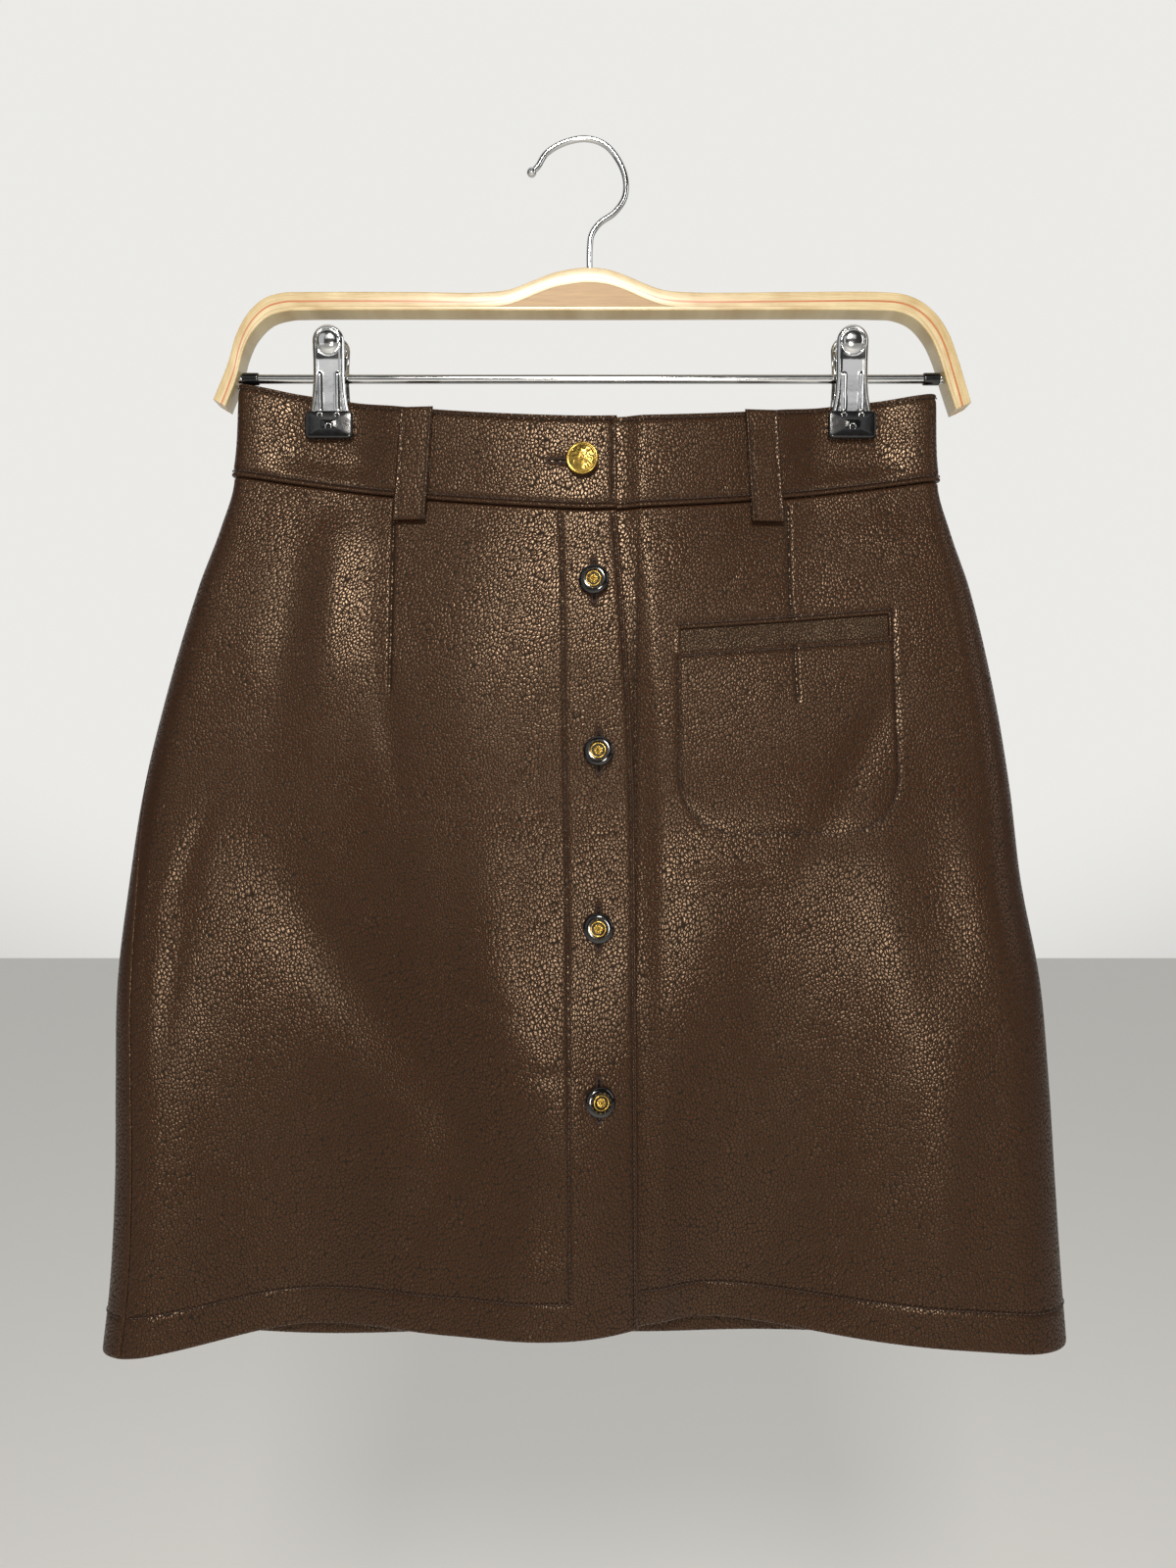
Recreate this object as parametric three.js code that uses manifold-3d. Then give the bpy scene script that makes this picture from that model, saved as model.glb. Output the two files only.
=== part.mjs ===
// A leather mini skirt with a buttoned front, clipped by its waistband to a bent plywood hanger.
// Millimetres. +Z is up, +X is to the viewer's right, and the front of the skirt faces -Y.
// The origin is the inside of the hook's crest, where the hanger rests on its peg.
import * as THREE from "three";
import { mergeVertices } from "three/addons/utils/BufferGeometryUtils.js";
import Module from "manifold-3d";

const wasm = await Module();
wasm.setup();

// Driving sizes of the cloth.
const LEATHER = 1.3;
const TURNED_EDGE = 2.5;
const BAND_PROUD = 1.2;
const BAND_INSIDE = 1.4;
const SEAM_GAP = 0.4;
const HEM_TURN_UP = 19;
const OVERLAP_BACK = 2.9;
const BAND_OVERLAP_BACK = 3.0;
const UNDERLAP_EDGE_X = -11;

// Half the way round is walked by a number from -1 to 1 on the front and from 1 to 3 on the back.
// The flat part of the front ends at FLAT_SHARE, and the rounded side fold fills the rest.
const FLAT_SHARE = 0.8;

// Sections across the skirt. Level -1 is the waistband's top edge, 0 the waist seam and 1 the hem.
// left and right are the side folds' X, fold is their Y, front and back how far the walls stand from
// that line, round is how much of each wall the side fold takes, and bow is how far the front bows
// forward between the clips.
const SECTIONS = [
  { level: -1.0, left: 174.5, right: 174.0, fold: 0, front: 4.5, back: 4.5, round: 5, bow: 8 },
  { level: 0.0, left: 178.0, right: 176.0, fold: 0, front: 6.0, back: 5.5, round: 7, bow: 10 },
  { level: 0.06, left: 184.5, right: 182.0, fold: -1, front: 8.5, back: 6.5, round: 11, bow: 9.5 },
  { level: 0.13, left: 195.2, right: 191.5, fold: -2, front: 12, back: 8, round: 15, bow: 8 },
  { level: 0.245, left: 208.9, right: 201.9, fold: -4, front: 17, back: 10.5, round: 19, bow: 5 },
  { level: 0.36, left: 219.9, right: 209.1, fold: -6, front: 21, back: 13, round: 22, bow: 3 },
  { level: 0.47, left: 226.9, right: 214.2, fold: -7, front: 23, back: 15, round: 24, bow: 2 },
  { level: 0.585, left: 232.3, right: 223.0, fold: -8, front: 25, back: 16.5, round: 26, bow: 1 },
  { level: 0.7, left: 232.8, right: 227.0, fold: -9, front: 26, back: 18, round: 28, bow: 0 },
  { level: 0.81, left: 232.8, right: 229.6, fold: -10, front: 26, back: 19, round: 29, bow: 0 },
  { level: 0.92, left: 234.8, right: 232.3, fold: -11, front: 26, back: 20, round: 30, bow: 0 },
  { level: 1.0, left: 238.2, right: 234.6, fold: -12, front: 26, back: 21, round: 30, bow: 0 },
];

// Edge lines seen from the front: the height in the middle, and how far each side stands above it.
const TOP_EDGE = { middle: -141.8, leftRise: 18.8, rightRise: 13.8, power: 1.65 };
const WAIST_SEAM = { middle: -188.6, leftRise: 19.1, rightRise: 16.6, power: 1.4 };
const FRONT_HEM = { middle: -589, leftRise: -11, rightRise: -6.5, power: 2.4 };
const BACK_HEM = { middle: -600, leftRise: 0.2, rightRise: 2.7, power: 3 };

// The largest folds of each wall. A positive depth is a valley, which runs from (topX, from) to the
// hem at hemX, and leftWidth and rightWidth are how far its flanks reach.
const FRONT_FOLDS = [
  { topX: -132, hemX: -139, from: 0.2, depth: 29, leftWidth: 37, rightWidth: 47 },
  { topX: 92, hemX: 59, from: 0.42, depth: 31, leftWidth: 30, rightWidth: 46 },
];
const BACK_FOLDS = [
  { topX: -120, hemX: -128, from: 0.15, depth: -9, leftWidth: 44, rightWidth: 52 },
  { topX: 40, hemX: 22, from: 0.3, depth: -7, leftWidth: 48, rightWidth: 42 },
  { topX: 130, hemX: 146, from: 0.25, depth: -8, leftWidth: 40, rightWidth: 40 },
];

// The clips press the waistband's two layers together.
const CLIP_X = 130.7;
const PINCH = { wallAt: 1.55, flat: 14, reach: 36, fullTo: -0.45, goneAt: 0.12 };
const BOW_REACH = 116;
const BACK_BOW = 3;

const smooth = (low, high, value) => {
  const t = Math.min(1, Math.max(0, (value - low) / (high - low)));
  return t * t * (3 - 2 * t);
};

// A column of the sections table at a level, along a cubic through its rows.
function section(column, level) {
  const rows = SECTIONS;
  const at = Math.min(Math.max(level, rows[0].level), rows[rows.length - 1].level);
  let k = 0;
  while (k < rows.length - 2 && rows[k + 1].level < at) k += 1;
  const slope = (a, b) => (rows[b][column] - rows[a][column]) / (rows[b].level - rows[a].level);
  const last = rows.length - 1;
  const span = rows[k + 1].level - rows[k].level;
  const t = (at - rows[k].level) / span;
  const m0 = slope(Math.max(k - 1, 0), k + 1) * span;
  const m1 = slope(k, Math.min(k + 2, last)) * span;
  const [t2, t3] = [t * t, t * t * t];
  return (
    (2 * t3 - 3 * t2 + 1) * rows[k][column] +
    (t3 - 2 * t2 + t) * m0 +
    (3 * t2 - 2 * t3) * rows[k + 1][column] +
    (t3 - t2) * m1
  );
}

// An edge line's height at a share of the half width, from -1 at the left fold to 1 at the right.
const edgeHeight = (edge, share) =>
  edge.middle + (share < 0 ? edge.leftRise : edge.rightRise) * Math.abs(share) ** edge.power;

function height(share, level, onBack) {
  const seam = edgeHeight(WAIST_SEAM, share);
  if (level < 0) return seam + (edgeHeight(TOP_EDGE, share) - seam) * -level;
  return seam + (edgeHeight(onBack ? BACK_HEM : FRONT_HEM, share) - seam) * level;
}

// How far the folds move a wall back, or forward where a fold's depth is negative.
function foldsAt(folds, x, level) {
  let sum = 0;
  for (const f of folds) {
    if (level <= f.from) continue;
    const down = (level - f.from) / (1 - f.from);
    const off = x - (f.topX + (f.hemX - f.topX) * down);
    const width = off < 0 ? f.leftWidth : f.rightWidth;
    sum += f.depth * down ** 1.2 * Math.exp(-0.5 * (off / width) ** 2);
  }
  return sum;
}

// A wall's distance from the middle, pressed in where a clip holds it.
function pinched(depth, x, level) {
  const across = 1 - smooth(PINCH.flat, PINCH.reach, Math.abs(Math.abs(x) - CLIP_X));
  const share = across * (1 - smooth(PINCH.fullTo, PINCH.goneAt, level));
  return depth + (PINCH.wallAt - depth) * share;
}

// The bow of the front between the clips, at its full size in the middle.
const bowAt = (x) => Math.max(0, 1 - (x / BOW_REACH) ** 2) ** 2;

// A point of the skirt's surface, moved in by inset. at is the number that walks round the skirt.
function skirtPoint(at, level, inset = 0) {
  let way = at;
  if (way > 3) way -= 4;
  const onBack = way > 1;
  if (onBack) way = 2 - way;
  const half = section(way < 0 ? "left" : "right", level);
  const round = section("round", level);
  const side = Math.sign(way);
  const flat = half - round;
  let x = (way / FLAT_SHARE) * flat;
  let full = 1;
  if (Math.abs(way) > FLAT_SHARE) {
    const angle = ((Math.abs(way) - FLAT_SHARE) / (1 - FLAT_SHARE)) * (Math.PI / 2);
    x = side * (flat + (round - inset) * Math.sin(angle));
    full = Math.cos(angle);
  }
  const fold = section("fold", level);
  const z = height(x / half, level, onBack);
  if (onBack) {
    const bow = BACK_BOW * bowAt(x) * (1 - smooth(-1, 0.5, level));
    const depth = pinched(section("back", level), x, level) + bow;
    return [x, fold + (depth - inset + foldsAt(BACK_FOLDS, x, level)) * full, z];
  }
  const depth = pinched(section("front", level), x, level) + section("bow", level) * bowAt(x);
  return [x, fold - (depth - inset - foldsAt(FRONT_FOLDS, x, level)) * full, z];
}

// The walking number and level of the front or back point at X and Z.
function locate(x, z, onBack = false) {
  let level = 0.3;
  for (let turn = 0; turn < 12; turn += 1) {
    const share = x / section(x < 0 ? "left" : "right", level);
    const seam = height(share, 0, onBack);
    const far = z > seam ? height(share, -1, onBack) : height(share, 1, onBack);
    level = ((seam - z) / (seam - far)) * (z > seam ? -1 : 1);
  }
  const flat = section(x < 0 ? "left" : "right", level) - section("round", level);
  const way = (x / flat) * FLAT_SHARE;
  return [onBack ? 2 - way : way, level];
}

function surfaceAt(x, z, inset = 0, onBack = false) {
  const [at, level] = locate(x, z, onBack);
  return skirtPoint(at, level, inset);
}

// The walking number at X on the front at a level.
function wayAtX(x, level) {
  const flat = section(x < 0 ? "left" : "right", level) - section("round", level);
  return (x / flat) * FLAT_SHARE;
}

// A closed mesh through a grid of outer points and a grid of inner ones, joined round the rim.
function wallGeometry(outer, inner) {
  const rows = outer.length;
  const columns = outer[0].length;
  const positions = [...outer.flat(), ...inner.flat()].flat();
  const layer = rows * columns;
  const o = (i, j) => i * columns + j;
  const n = (i, j) => layer + i * columns + j;
  const index = [];
  const quad = (a, b, c, d) => index.push(a, b, c, a, c, d);
  for (let i = 0; i < rows - 1; i += 1) {
    for (let j = 0; j < columns - 1; j += 1) {
      quad(o(i, j), o(i + 1, j), o(i + 1, j + 1), o(i, j + 1));
      quad(n(i, j), n(i, j + 1), n(i + 1, j + 1), n(i + 1, j));
    }
    quad(o(i, 0), n(i, 0), n(i + 1, 0), o(i + 1, 0));
    quad(o(i, columns - 1), o(i + 1, columns - 1), n(i + 1, columns - 1), n(i, columns - 1));
  }
  for (let j = 0; j < columns - 1; j += 1) {
    quad(o(0, j), o(0, j + 1), n(0, j + 1), n(0, j));
    quad(o(rows - 1, j), n(rows - 1, j), n(rows - 1, j + 1), o(rows - 1, j + 1));
  }
  const geometry = new THREE.BufferGeometry();
  geometry.setAttribute("position", new THREE.Float32BufferAttribute(positions, 3));
  geometry.setIndex(index);
  return geometry;
}

function solidOf(geometry) {
  const bare = geometry.clone();
  bare.deleteAttribute("normal");
  bare.deleteAttribute("uv");
  const merged = mergeVertices(bare, 1e-4);
  return new wasm.Manifold(
    new wasm.Mesh({
      numProp: 3,
      vertProperties: new Float32Array(merged.attributes.position.array),
      triVerts: new Uint32Array(merged.index.array),
    }),
  );
}

function geometryOf(solid) {
  const mesh = solid.getMesh();
  const geometry = new THREE.BufferGeometry();
  geometry.setAttribute("position", new THREE.BufferAttribute(mesh.vertProperties, 3));
  geometry.setIndex(new THREE.BufferAttribute(mesh.triVerts, 1));
  return geometry;
}

const group = new THREE.Group();

const LOOKS = {
  leather: { color: 0x46291c, roughness: 0.42, metalness: 0 },
  smoothLeather: { color: 0x3b2318, roughness: 0.5, metalness: 0 },
  gilt: { color: 0xc9a24a, roughness: 0.3, metalness: 1 },
  enamel: { color: 0x0c0a0b, roughness: 0.12, metalness: 0 },
  birch: { color: 0xe6cf98, roughness: 0.45, metalness: 0 },
  inlayWood: { color: 0xd29a4e, roughness: 0.45, metalness: 0 },
  chrome: { color: 0xd9dadb, roughness: 0.12, metalness: 1 },
  vinyl: { color: 0x0b0c0c, roughness: 0.2, metalness: 0 },
};

function addPart(name, geometry, look) {
  const mesh = new THREE.Mesh(geometry, new THREE.MeshStandardMaterial(LOOKS[look]));
  mesh.name = name;
  group.add(mesh);
  return mesh;
}

// Skirt panels.

const PANEL_ROWS = 20;
const FRONT_COLUMNS = 21;
const BACK_COLUMNS = 38;
const BAND_BACK_COLUMNS = 34;
const SEAM_LENGTH = 411;
const HEM_LEVEL = 1 - HEM_TURN_UP / SEAM_LENGTH;
const PANEL_TOP = SEAM_GAP / SEAM_LENGTH;

// Levels of the panels' rows, with a pair close together where the hem's turned edge begins.
function panelLevels() {
  const levels = [];
  for (let i = 0; i < PANEL_ROWS; i += 1) {
    levels.push(PANEL_TOP + ((HEM_LEVEL - PANEL_TOP) * i) / (PANEL_ROWS - 1));
  }
  return [...levels, HEM_LEVEL + 0.004, 1];
}

const wallAt = (level) => (level > HEM_LEVEL + 0.002 ? TURNED_EDGE : LEATHER);

// The angle of the wearer's right side seam round its fold: at the fold's end near the waist, and
// rolled to the front lower down.
const rightSeamAngle = (level) => 31 + 59 * (1 - smooth(0.1, 0.6, level));
const rightSeamWay = (level) => -(FLAT_SHARE + (1 - FLAT_SHARE) * (rightSeamAngle(level) / 90));
const LEFT_SEAM_WAY = 1.012;

// The step of the walking number that makes a seam gap at a side fold.
function seamStep(level, degrees) {
  const angle = (degrees * Math.PI) / 180;
  const across = section("round", level) * Math.cos(angle);
  const along = section("front", level) * Math.sin(angle);
  return ((SEAM_GAP / Math.hypot(across, along)) * (1 - FLAT_SHARE) * 2) / Math.PI;
}

// The overlap's front edge, and the facing's stitch line on it.
const OVERLAP_EDGE = [
  { level: 0, x: 14.2 },
  { level: 0.13, x: 18 },
  { level: 0.245, x: 20.7 },
  { level: 0.36, x: 22.5 },
  { level: 1, x: 24.5 },
];
const PLACKET_WIDTH = 33;
const BAND_END_X = 14.3;

function overlapEdgeX(level) {
  let k = 0;
  while (k < OVERLAP_EDGE.length - 2 && OVERLAP_EDGE[k + 1].level < level) k += 1;
  const [a, b] = [OVERLAP_EDGE[k], OVERLAP_EDGE[k + 1]];
  return a.x + (b.x - a.x) * Math.min(1, Math.max(0, (level - a.level) / (b.level - a.level)));
}

function panel(levels, columns, leftWay, rightWay, outerInset, thickness) {
  const grid = (deep) =>
    levels.map((level) => {
      const row = [];
      for (let j = 0; j <= columns; j += 1) {
        const at = leftWay(level) + ((rightWay(level) - leftWay(level)) * j) / columns;
        const x = skirtPoint(at, level)[0];
        const inset = outerInset(x, level, at) + (deep ? thickness(x, level, at) : 0);
        row.push(skirtPoint(at, level, inset));
      }
      return row;
    });
  return wallGeometry(grid(false), grid(true));
}

// A frame on the front of the cloth: X along it, Y into it and Z up it.
function clothFrame(x, z, inset = 0) {
  const point = (dx, dz) => new THREE.Vector3(...surfaceAt(x + dx, z + dz, inset));
  const along = point(2, 0).sub(point(-2, 0)).normalize();
  const up = point(0, 2).sub(point(0, -2)).normalize();
  const into = up.clone().cross(along).normalize();
  up.crossVectors(along, into);
  return new THREE.Matrix4().makeBasis(along, into, up).setPosition(point(0, 0));
}

// A bar through the cloth for cutting a hole in it.
function slotCutter(width, tall, x, z, turn = 0) {
  const box = new THREE.BoxGeometry(width, 14, tall);
  box.rotateY(turn);
  box.applyMatrix4(clothFrame(x, z));
  return solidOf(box);
}

const BUTTON_SLOT = { length: 19, width: 2.6 };
const FRONT_BUTTONS = [
  { name: "button_1", x: 3.0, z: -224.7, turn: -8, lean: 3 },
  { name: "button_2", x: 5.2, z: -308.2, turn: -8, lean: -4 },
  { name: "button_3", x: 5.0, z: -392.3, turn: -4, lean: 3 },
  { name: "button_4", x: 5.3, z: -474.0, turn: 5, lean: -3 },
];
const WAIST_BUTTON = { name: "button_waist", x: -2.6, z: -164.6, turn: -9, lean: 4 };

const levels = panelLevels();

// The wearer's right front, with the overlap that carries the buttonholes.
const inPlacket = (x, level) => x > overlapEdgeX(level) - PLACKET_WIDTH + 1;
let rightFront = solidOf(
  panel(
    levels,
    FRONT_COLUMNS,
    (level) => rightSeamWay(level) + seamStep(level, rightSeamAngle(level)),
    (level) => wayAtX(overlapEdgeX(level), level),
    () => 0,
    (x, level) => (inPlacket(x, level) ? TURNED_EDGE : wallAt(level)),
  ),
);
for (const b of FRONT_BUTTONS) {
  rightFront = rightFront.subtract(slotCutter(BUTTON_SLOT.width, BUTTON_SLOT.length, b.x, b.z));
}
addPart("front_right_panel", geometryOf(rightFront), "leather");

// The wearer's left front goes under the overlap, and its pocket opening is cut through it.
const POCKET = {
  left: 45,
  right: 147.5,
  topLeft: -248.2,
  topRight: -240,
  slit: 11.3,
  bagLeft: 41.8,
  bagRight: 151.5,
  bottom: -351.5,
  corner: 27,
};
const underOverlap = (x, level) =>
  OVERLAP_BACK * (1 - smooth(overlapEdgeX(level) + 1, overlapEdgeX(level) + 15, x));
const pocketSlope = Math.atan2(POCKET.topRight - POCKET.topLeft, POCKET.right - POCKET.left);

let leftFront = solidOf(
  panel(
    levels,
    FRONT_COLUMNS,
    (level) => wayAtX(UNDERLAP_EDGE_X, level),
    (level) => LEFT_SEAM_WAY - seamStep(level, 90),
    underOverlap,
    (x, level) => wallAt(level),
  ),
);
const slitMiddle = {
  x: (POCKET.left + POCKET.right) / 2,
  z: (POCKET.topLeft + POCKET.topRight) / 2 - POCKET.slit / 2,
};
leftFront = leftFront.subtract(
  slotCutter(
    (POCKET.right - POCKET.left) / Math.cos(pocketSlope),
    POCKET.slit,
    slitMiddle.x,
    slitMiddle.z,
    -pocketSlope,
  ),
);
addPart("front_left_panel", geometryOf(leftFront), "leather");

// The pocket's back layer lies behind the left front, and shows in the opening.
const BAG_ROWS = 9;
const BAG_COLUMNS = 10;
const BAG_ABOVE_SLIT = 6;
function pocketBag() {
  const insetOuter = LEATHER + SEAM_GAP;
  const middle = (POCKET.bagLeft + POCKET.bagRight) / 2;
  const halfWidth = (POCKET.bagRight - POCKET.bagLeft) / 2;
  const grid = (inset) => {
    const rows = [];
    for (let i = 0; i <= BAG_ROWS; i += 1) {
      const row = [];
      for (let j = 0; j <= BAG_COLUMNS; j += 1) {
        const share = (2 * j) / BAG_COLUMNS - 1;
        const x = middle + halfWidth * Math.sin((share * Math.PI) / 2);
        const top = POCKET.topLeft + (x - POCKET.left) * Math.tan(pocketSlope) + BAG_ABOVE_SLIT;
        const nearSide = Math.max(0, Math.abs(x - middle) - (halfWidth - POCKET.corner));
        const bottom =
          POCKET.bottom + POCKET.corner - Math.sqrt(Math.max(0, POCKET.corner ** 2 - nearSide ** 2));
        row.push(surfaceAt(x, top + ((bottom - top) * i) / BAG_ROWS, inset));
      }
      rows.push(row);
    }
    return rows;
  };
  return wallGeometry(grid(insetOuter), grid(insetOuter + LEATHER));
}
addPart("pocket_bag", pocketBag(), "smoothLeather");

// The back is one panel, from fold to fold.
addPart(
  "back_panel",
  panel(
    levels,
    BACK_COLUMNS,
    (level) => LEFT_SEAM_WAY + seamStep(level, 90) * 0.2,
    (level) => 4 + rightSeamWay(level) - seamStep(level, rightSeamAngle(level)) * 0.2,
    () => 0,
    (x, level) => wallAt(level),
  ),
  "leather",
);

// The waistband: a contoured band of two layers, in three pieces that meet at the side folds.
const BAND_ROWS = 4;
const bandLevels = [];
for (let i = 0; i <= BAND_ROWS; i += 1) bandLevels.push(-1 + i / BAND_ROWS);
const BAND_THICKNESS = BAND_PROUD + BAND_INSIDE;
const LEFT_BAND_SEAM = 1.03;
const RIGHT_BAND_SEAM = 2.97;
const BAND_STEP = 0.006;

addPart(
  "waistband_right",
  (() => {
    let band = solidOf(
      panel(
        bandLevels,
        FRONT_COLUMNS,
        () => RIGHT_BAND_SEAM + BAND_STEP,
        (level) => 4 + wayAtX(BAND_END_X, level),
        () => -BAND_PROUD,
        () => BAND_THICKNESS,
      ),
    );
    const { x, z } = WAIST_BUTTON;
    const slotX = x - BUTTON_SLOT.length / 2 + 2.5;
    band = band.subtract(slotCutter(BUTTON_SLOT.length, BUTTON_SLOT.width, slotX, z));
    return geometryOf(band);
  })(),
  "leather",
);
addPart(
  "waistband_left",
  panel(
    bandLevels,
    FRONT_COLUMNS,
    (level) => wayAtX(UNDERLAP_EDGE_X - 5, level),
    () => LEFT_BAND_SEAM - BAND_STEP,
    (x) => -BAND_PROUD + BAND_OVERLAP_BACK * (1 - smooth(BAND_END_X + 1, BAND_END_X + 14, x)),
    () => BAND_THICKNESS,
  ),
  "leather",
);
addPart(
  "waistband_back",
  panel(
    bandLevels,
    BAND_BACK_COLUMNS,
    () => LEFT_BAND_SEAM,
    () => RIGHT_BAND_SEAM,
    () => -BAND_PROUD,
    () => BAND_THICKNESS,
  ),
  "leather",
);

// Belt loops: strips that stand off the band, with a foot at each end.
const LOOP = { width: 16.5, thick: 2.0, near: 0.6, standOff: 1.7, foot: 5, below: 12 };
const BELT_LOOPS = [
  { name: "belt_loop_front_right", topX: -85.0, bottomX: -88.6, onBack: false },
  { name: "belt_loop_front_left", topX: 86.0, bottomX: 89.2, onBack: false },
  { name: "belt_loop_back_right", topX: -85.0, bottomX: -88.6, onBack: true },
  { name: "belt_loop_back_left", topX: 86.0, bottomX: 89.2, onBack: true },
];

// The profile is given as height shares down the loop and distances out from the cloth.
function beltLoop(loop) {
  const topZ = surfaceAtLevel(loop.topX, -1, loop.onBack)[2] - 0.6;
  const seamZ = surfaceAtLevel(loop.bottomX, 0, loop.onBack)[2];
  const bottomZ = seamZ - LOOP.below;
  const near = LOOP.near;
  const far = LOOP.standOff;
  const out = far + LOOP.thick;
  const profile = [
    { z: topZ - LOOP.foot, off: near },
    { z: topZ - 0.8, off: near },
    { z: topZ, off: near + 0.9 },
    { z: topZ - 0.4, off: out - 0.5 },
    { z: topZ - 2, off: out },
    { z: (topZ + seamZ) / 2, off: out },
    { z: seamZ - 1.5, off: out },
    { z: bottomZ + 1.2, off: out - 0.2 },
    { z: bottomZ, off: out - 1.2 },
    { z: bottomZ + 0.2, off: near + 0.5 },
    { z: bottomZ + 0.8, off: near },
    { z: bottomZ + LOOP.foot, off: near },
    { z: bottomZ + LOOP.foot + 0.6, off: far },
    { z: seamZ + 3, off: far },
    { z: (topZ + seamZ) / 2, off: far },
    { z: topZ - LOOP.foot - 0.8, off: far },
  ];
  const lean = (loop.bottomX - loop.topX) / (bottomZ - topZ);
  const across = 3;
  const rings = [];
  for (let k = 0; k <= across; k += 1) {
    const shift = LOOP.width * (k / across - 0.5);
    rings.push(
      profile.map(({ z, off }) => {
        const x = loop.topX + (z - topZ) * lean + shift;
        const onBand = z > seamZ - 1;
        const proud = onBand || off > near ? BAND_PROUD : 0;
        const y = surfaceAt(x, z, -proud - off, loop.onBack)[1];
        return [x, y, z];
      }),
    );
  }
  return loftGeometry(rings, loop.onBack);
}

function surfaceAtLevel(x, level, onBack) {
  const way = wayAtX(x, level);
  return skirtPoint(onBack ? 2 - way : way, level);
}

// A closed mesh through equal rings of points, capped at both ends.
function loftGeometry(rings, reversed) {
  const count = rings[0].length;
  const index = [];
  const push = (a, b, c) => (reversed ? index.push(a, c, b) : index.push(a, b, c));
  for (let k = 0; k < rings.length - 1; k += 1) {
    for (let i = 0; i < count; i += 1) {
      const a = k * count + i;
      const b = k * count + ((i + 1) % count);
      push(a, b, b + count);
      push(a, b + count, a + count);
    }
  }
  for (const [base, turn] of [
    [0, false],
    [(rings.length - 1) * count, true],
  ]) {
    const contour = rings[base / count].map(([, y, z]) => new THREE.Vector2(y, z));
    for (const [a, b, c] of THREE.ShapeUtils.triangulateShape(contour, [])) {
      const area = THREE.ShapeUtils.area(contour) > 0;
      const flip = turn === area;
      if (flip) push(base + a, base + b, base + c);
      else push(base + a, base + c, base + b);
    }
  }
  const geometry = new THREE.BufferGeometry();
  geometry.setAttribute("position", new THREE.Float32BufferAttribute(rings.flat(2), 3));
  geometry.setIndex(index);
  return geometry;
}

for (const loop of BELT_LOOPS) addPart(loop.name, beltLoop(loop), "leather");

// Buttons: a head that may be turned, on a straight shank that goes through the buttonhole.
const BUTTON = { frontRadius: 7.3, waistRadius: 8, rim: 1.5, dome: 2.4, shank: 0.95, standOff: 2.0, segments: 20 };

// proud is how far the cloth under the button stands out, and depth how far the shank goes in.
function buttonGeometry({ x, z, turn, lean }, proud, depth, domed) {
  const { frontRadius, waistRadius, rim, dome, shank, standOff, segments } = BUTTON;
  const radius = domed ? waistRadius : frontRadius;
  const crown = domed ? dome : dome * 0.8;
  const profile = [
    [0, 0],
    [radius * 0.8, 0],
    [radius, rim * 0.5],
    [radius, rim],
    [radius * 0.85, rim + crown * 0.45],
    [radius * 0.5, rim + crown * (domed ? 0.85 : 0.75)],
    [0, rim + crown],
  ].map(([r, h]) => new THREE.Vector2(r, h));
  const head = new THREE.LatheGeometry(profile, segments);
  head.rotateX(Math.PI);
  head.rotateX((lean * Math.PI) / 180);
  head.rotateZ((turn * Math.PI) / 180);
  head.translate(0, -proud - standOff, 0);
  const reach = depth + standOff + rim * 0.6;
  const pin = new THREE.CylinderGeometry(shank, shank, reach, 10);
  pin.translate(0, depth - proud - reach / 2, 0);
  const button = geometryOf(solidOf(head).add(solidOf(pin)));
  return button.applyMatrix4(clothFrame(x, z));
}

const SHANK_CLEAR = 0.35;
for (const b of FRONT_BUTTONS) {
  addPart(b.name, buttonGeometry(b, 0, OVERLAP_BACK - SHANK_CLEAR, false), "enamel");
}
addPart(
  WAIST_BUTTON.name,
  buttonGeometry(WAIST_BUTTON, BAND_PROUD, BAND_OVERLAP_BACK - SHANK_CLEAR, true),
  "gilt",
);

// The hanger's bow is bent plywood: an outer and an inner edge, 12 deep, with a slim lens of
// inlaid wood under the hump. The edges run from the left tip to the right one.
const BOW = { deep: 13, bevel: 0.5, outerSamples: 72, innerSamples: 60 };
const BOW_OUTER = [
  [-187.1, -131.8], [-180.1, -114.4], [-175.4, -98.7], [-169.3, -88.0], [-161.4, -81.1],
  [-152.1, -78.4], [-142.8, -78.1], [-86.6, -78.1], [-54.0, -78.4], [-39.6, -76.9],
  [-27.4, -72.4], [-16.1, -68.2], [-0.7, -65.9], [10.0, -66.9], [18.6, -69.7],
  [27.4, -73.5], [37.5, -77.0], [52.0, -78.3], [102.2, -78.1], [146.0, -78.1],
  [158.0, -79.3], [167.4, -83.4], [175.1, -90.6], [180.5, -99.6], [184.2, -109.6],
  [188.1, -122.3], [191.3, -133.3],
];
const BOW_INNER = [
  [-181.0, -135.5], [-175.4, -120.7], [-172.2, -108.2], [-167.8, -98.7], [-160.0, -90.8],
  [-150.4, -87.9], [-142.0, -87.5], [0.0, -87.5], [145.0, -87.5], [154.6, -88.1],
  [163.0, -91.6], [170.2, -99.6], [175.1, -110.0], [179.0, -122.8], [183.6, -137.0],
];
// The lens lies this far inside the outer edge, and stands on a straight lower edge.
const LENS = { under: 7.6, base: -85.5, left: -47, right: 44, clear: 0.15, samples: 36 };

function edgeCurve(table, samples) {
  const curve = new THREE.CatmullRomCurve3(
    table.map(([x, z]) => new THREE.Vector3(x, z, 0)),
    false,
    "centripetal",
  );
  return curve.getSpacedPoints(samples).map((v) => new THREE.Vector2(v.x, v.y));
}

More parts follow.
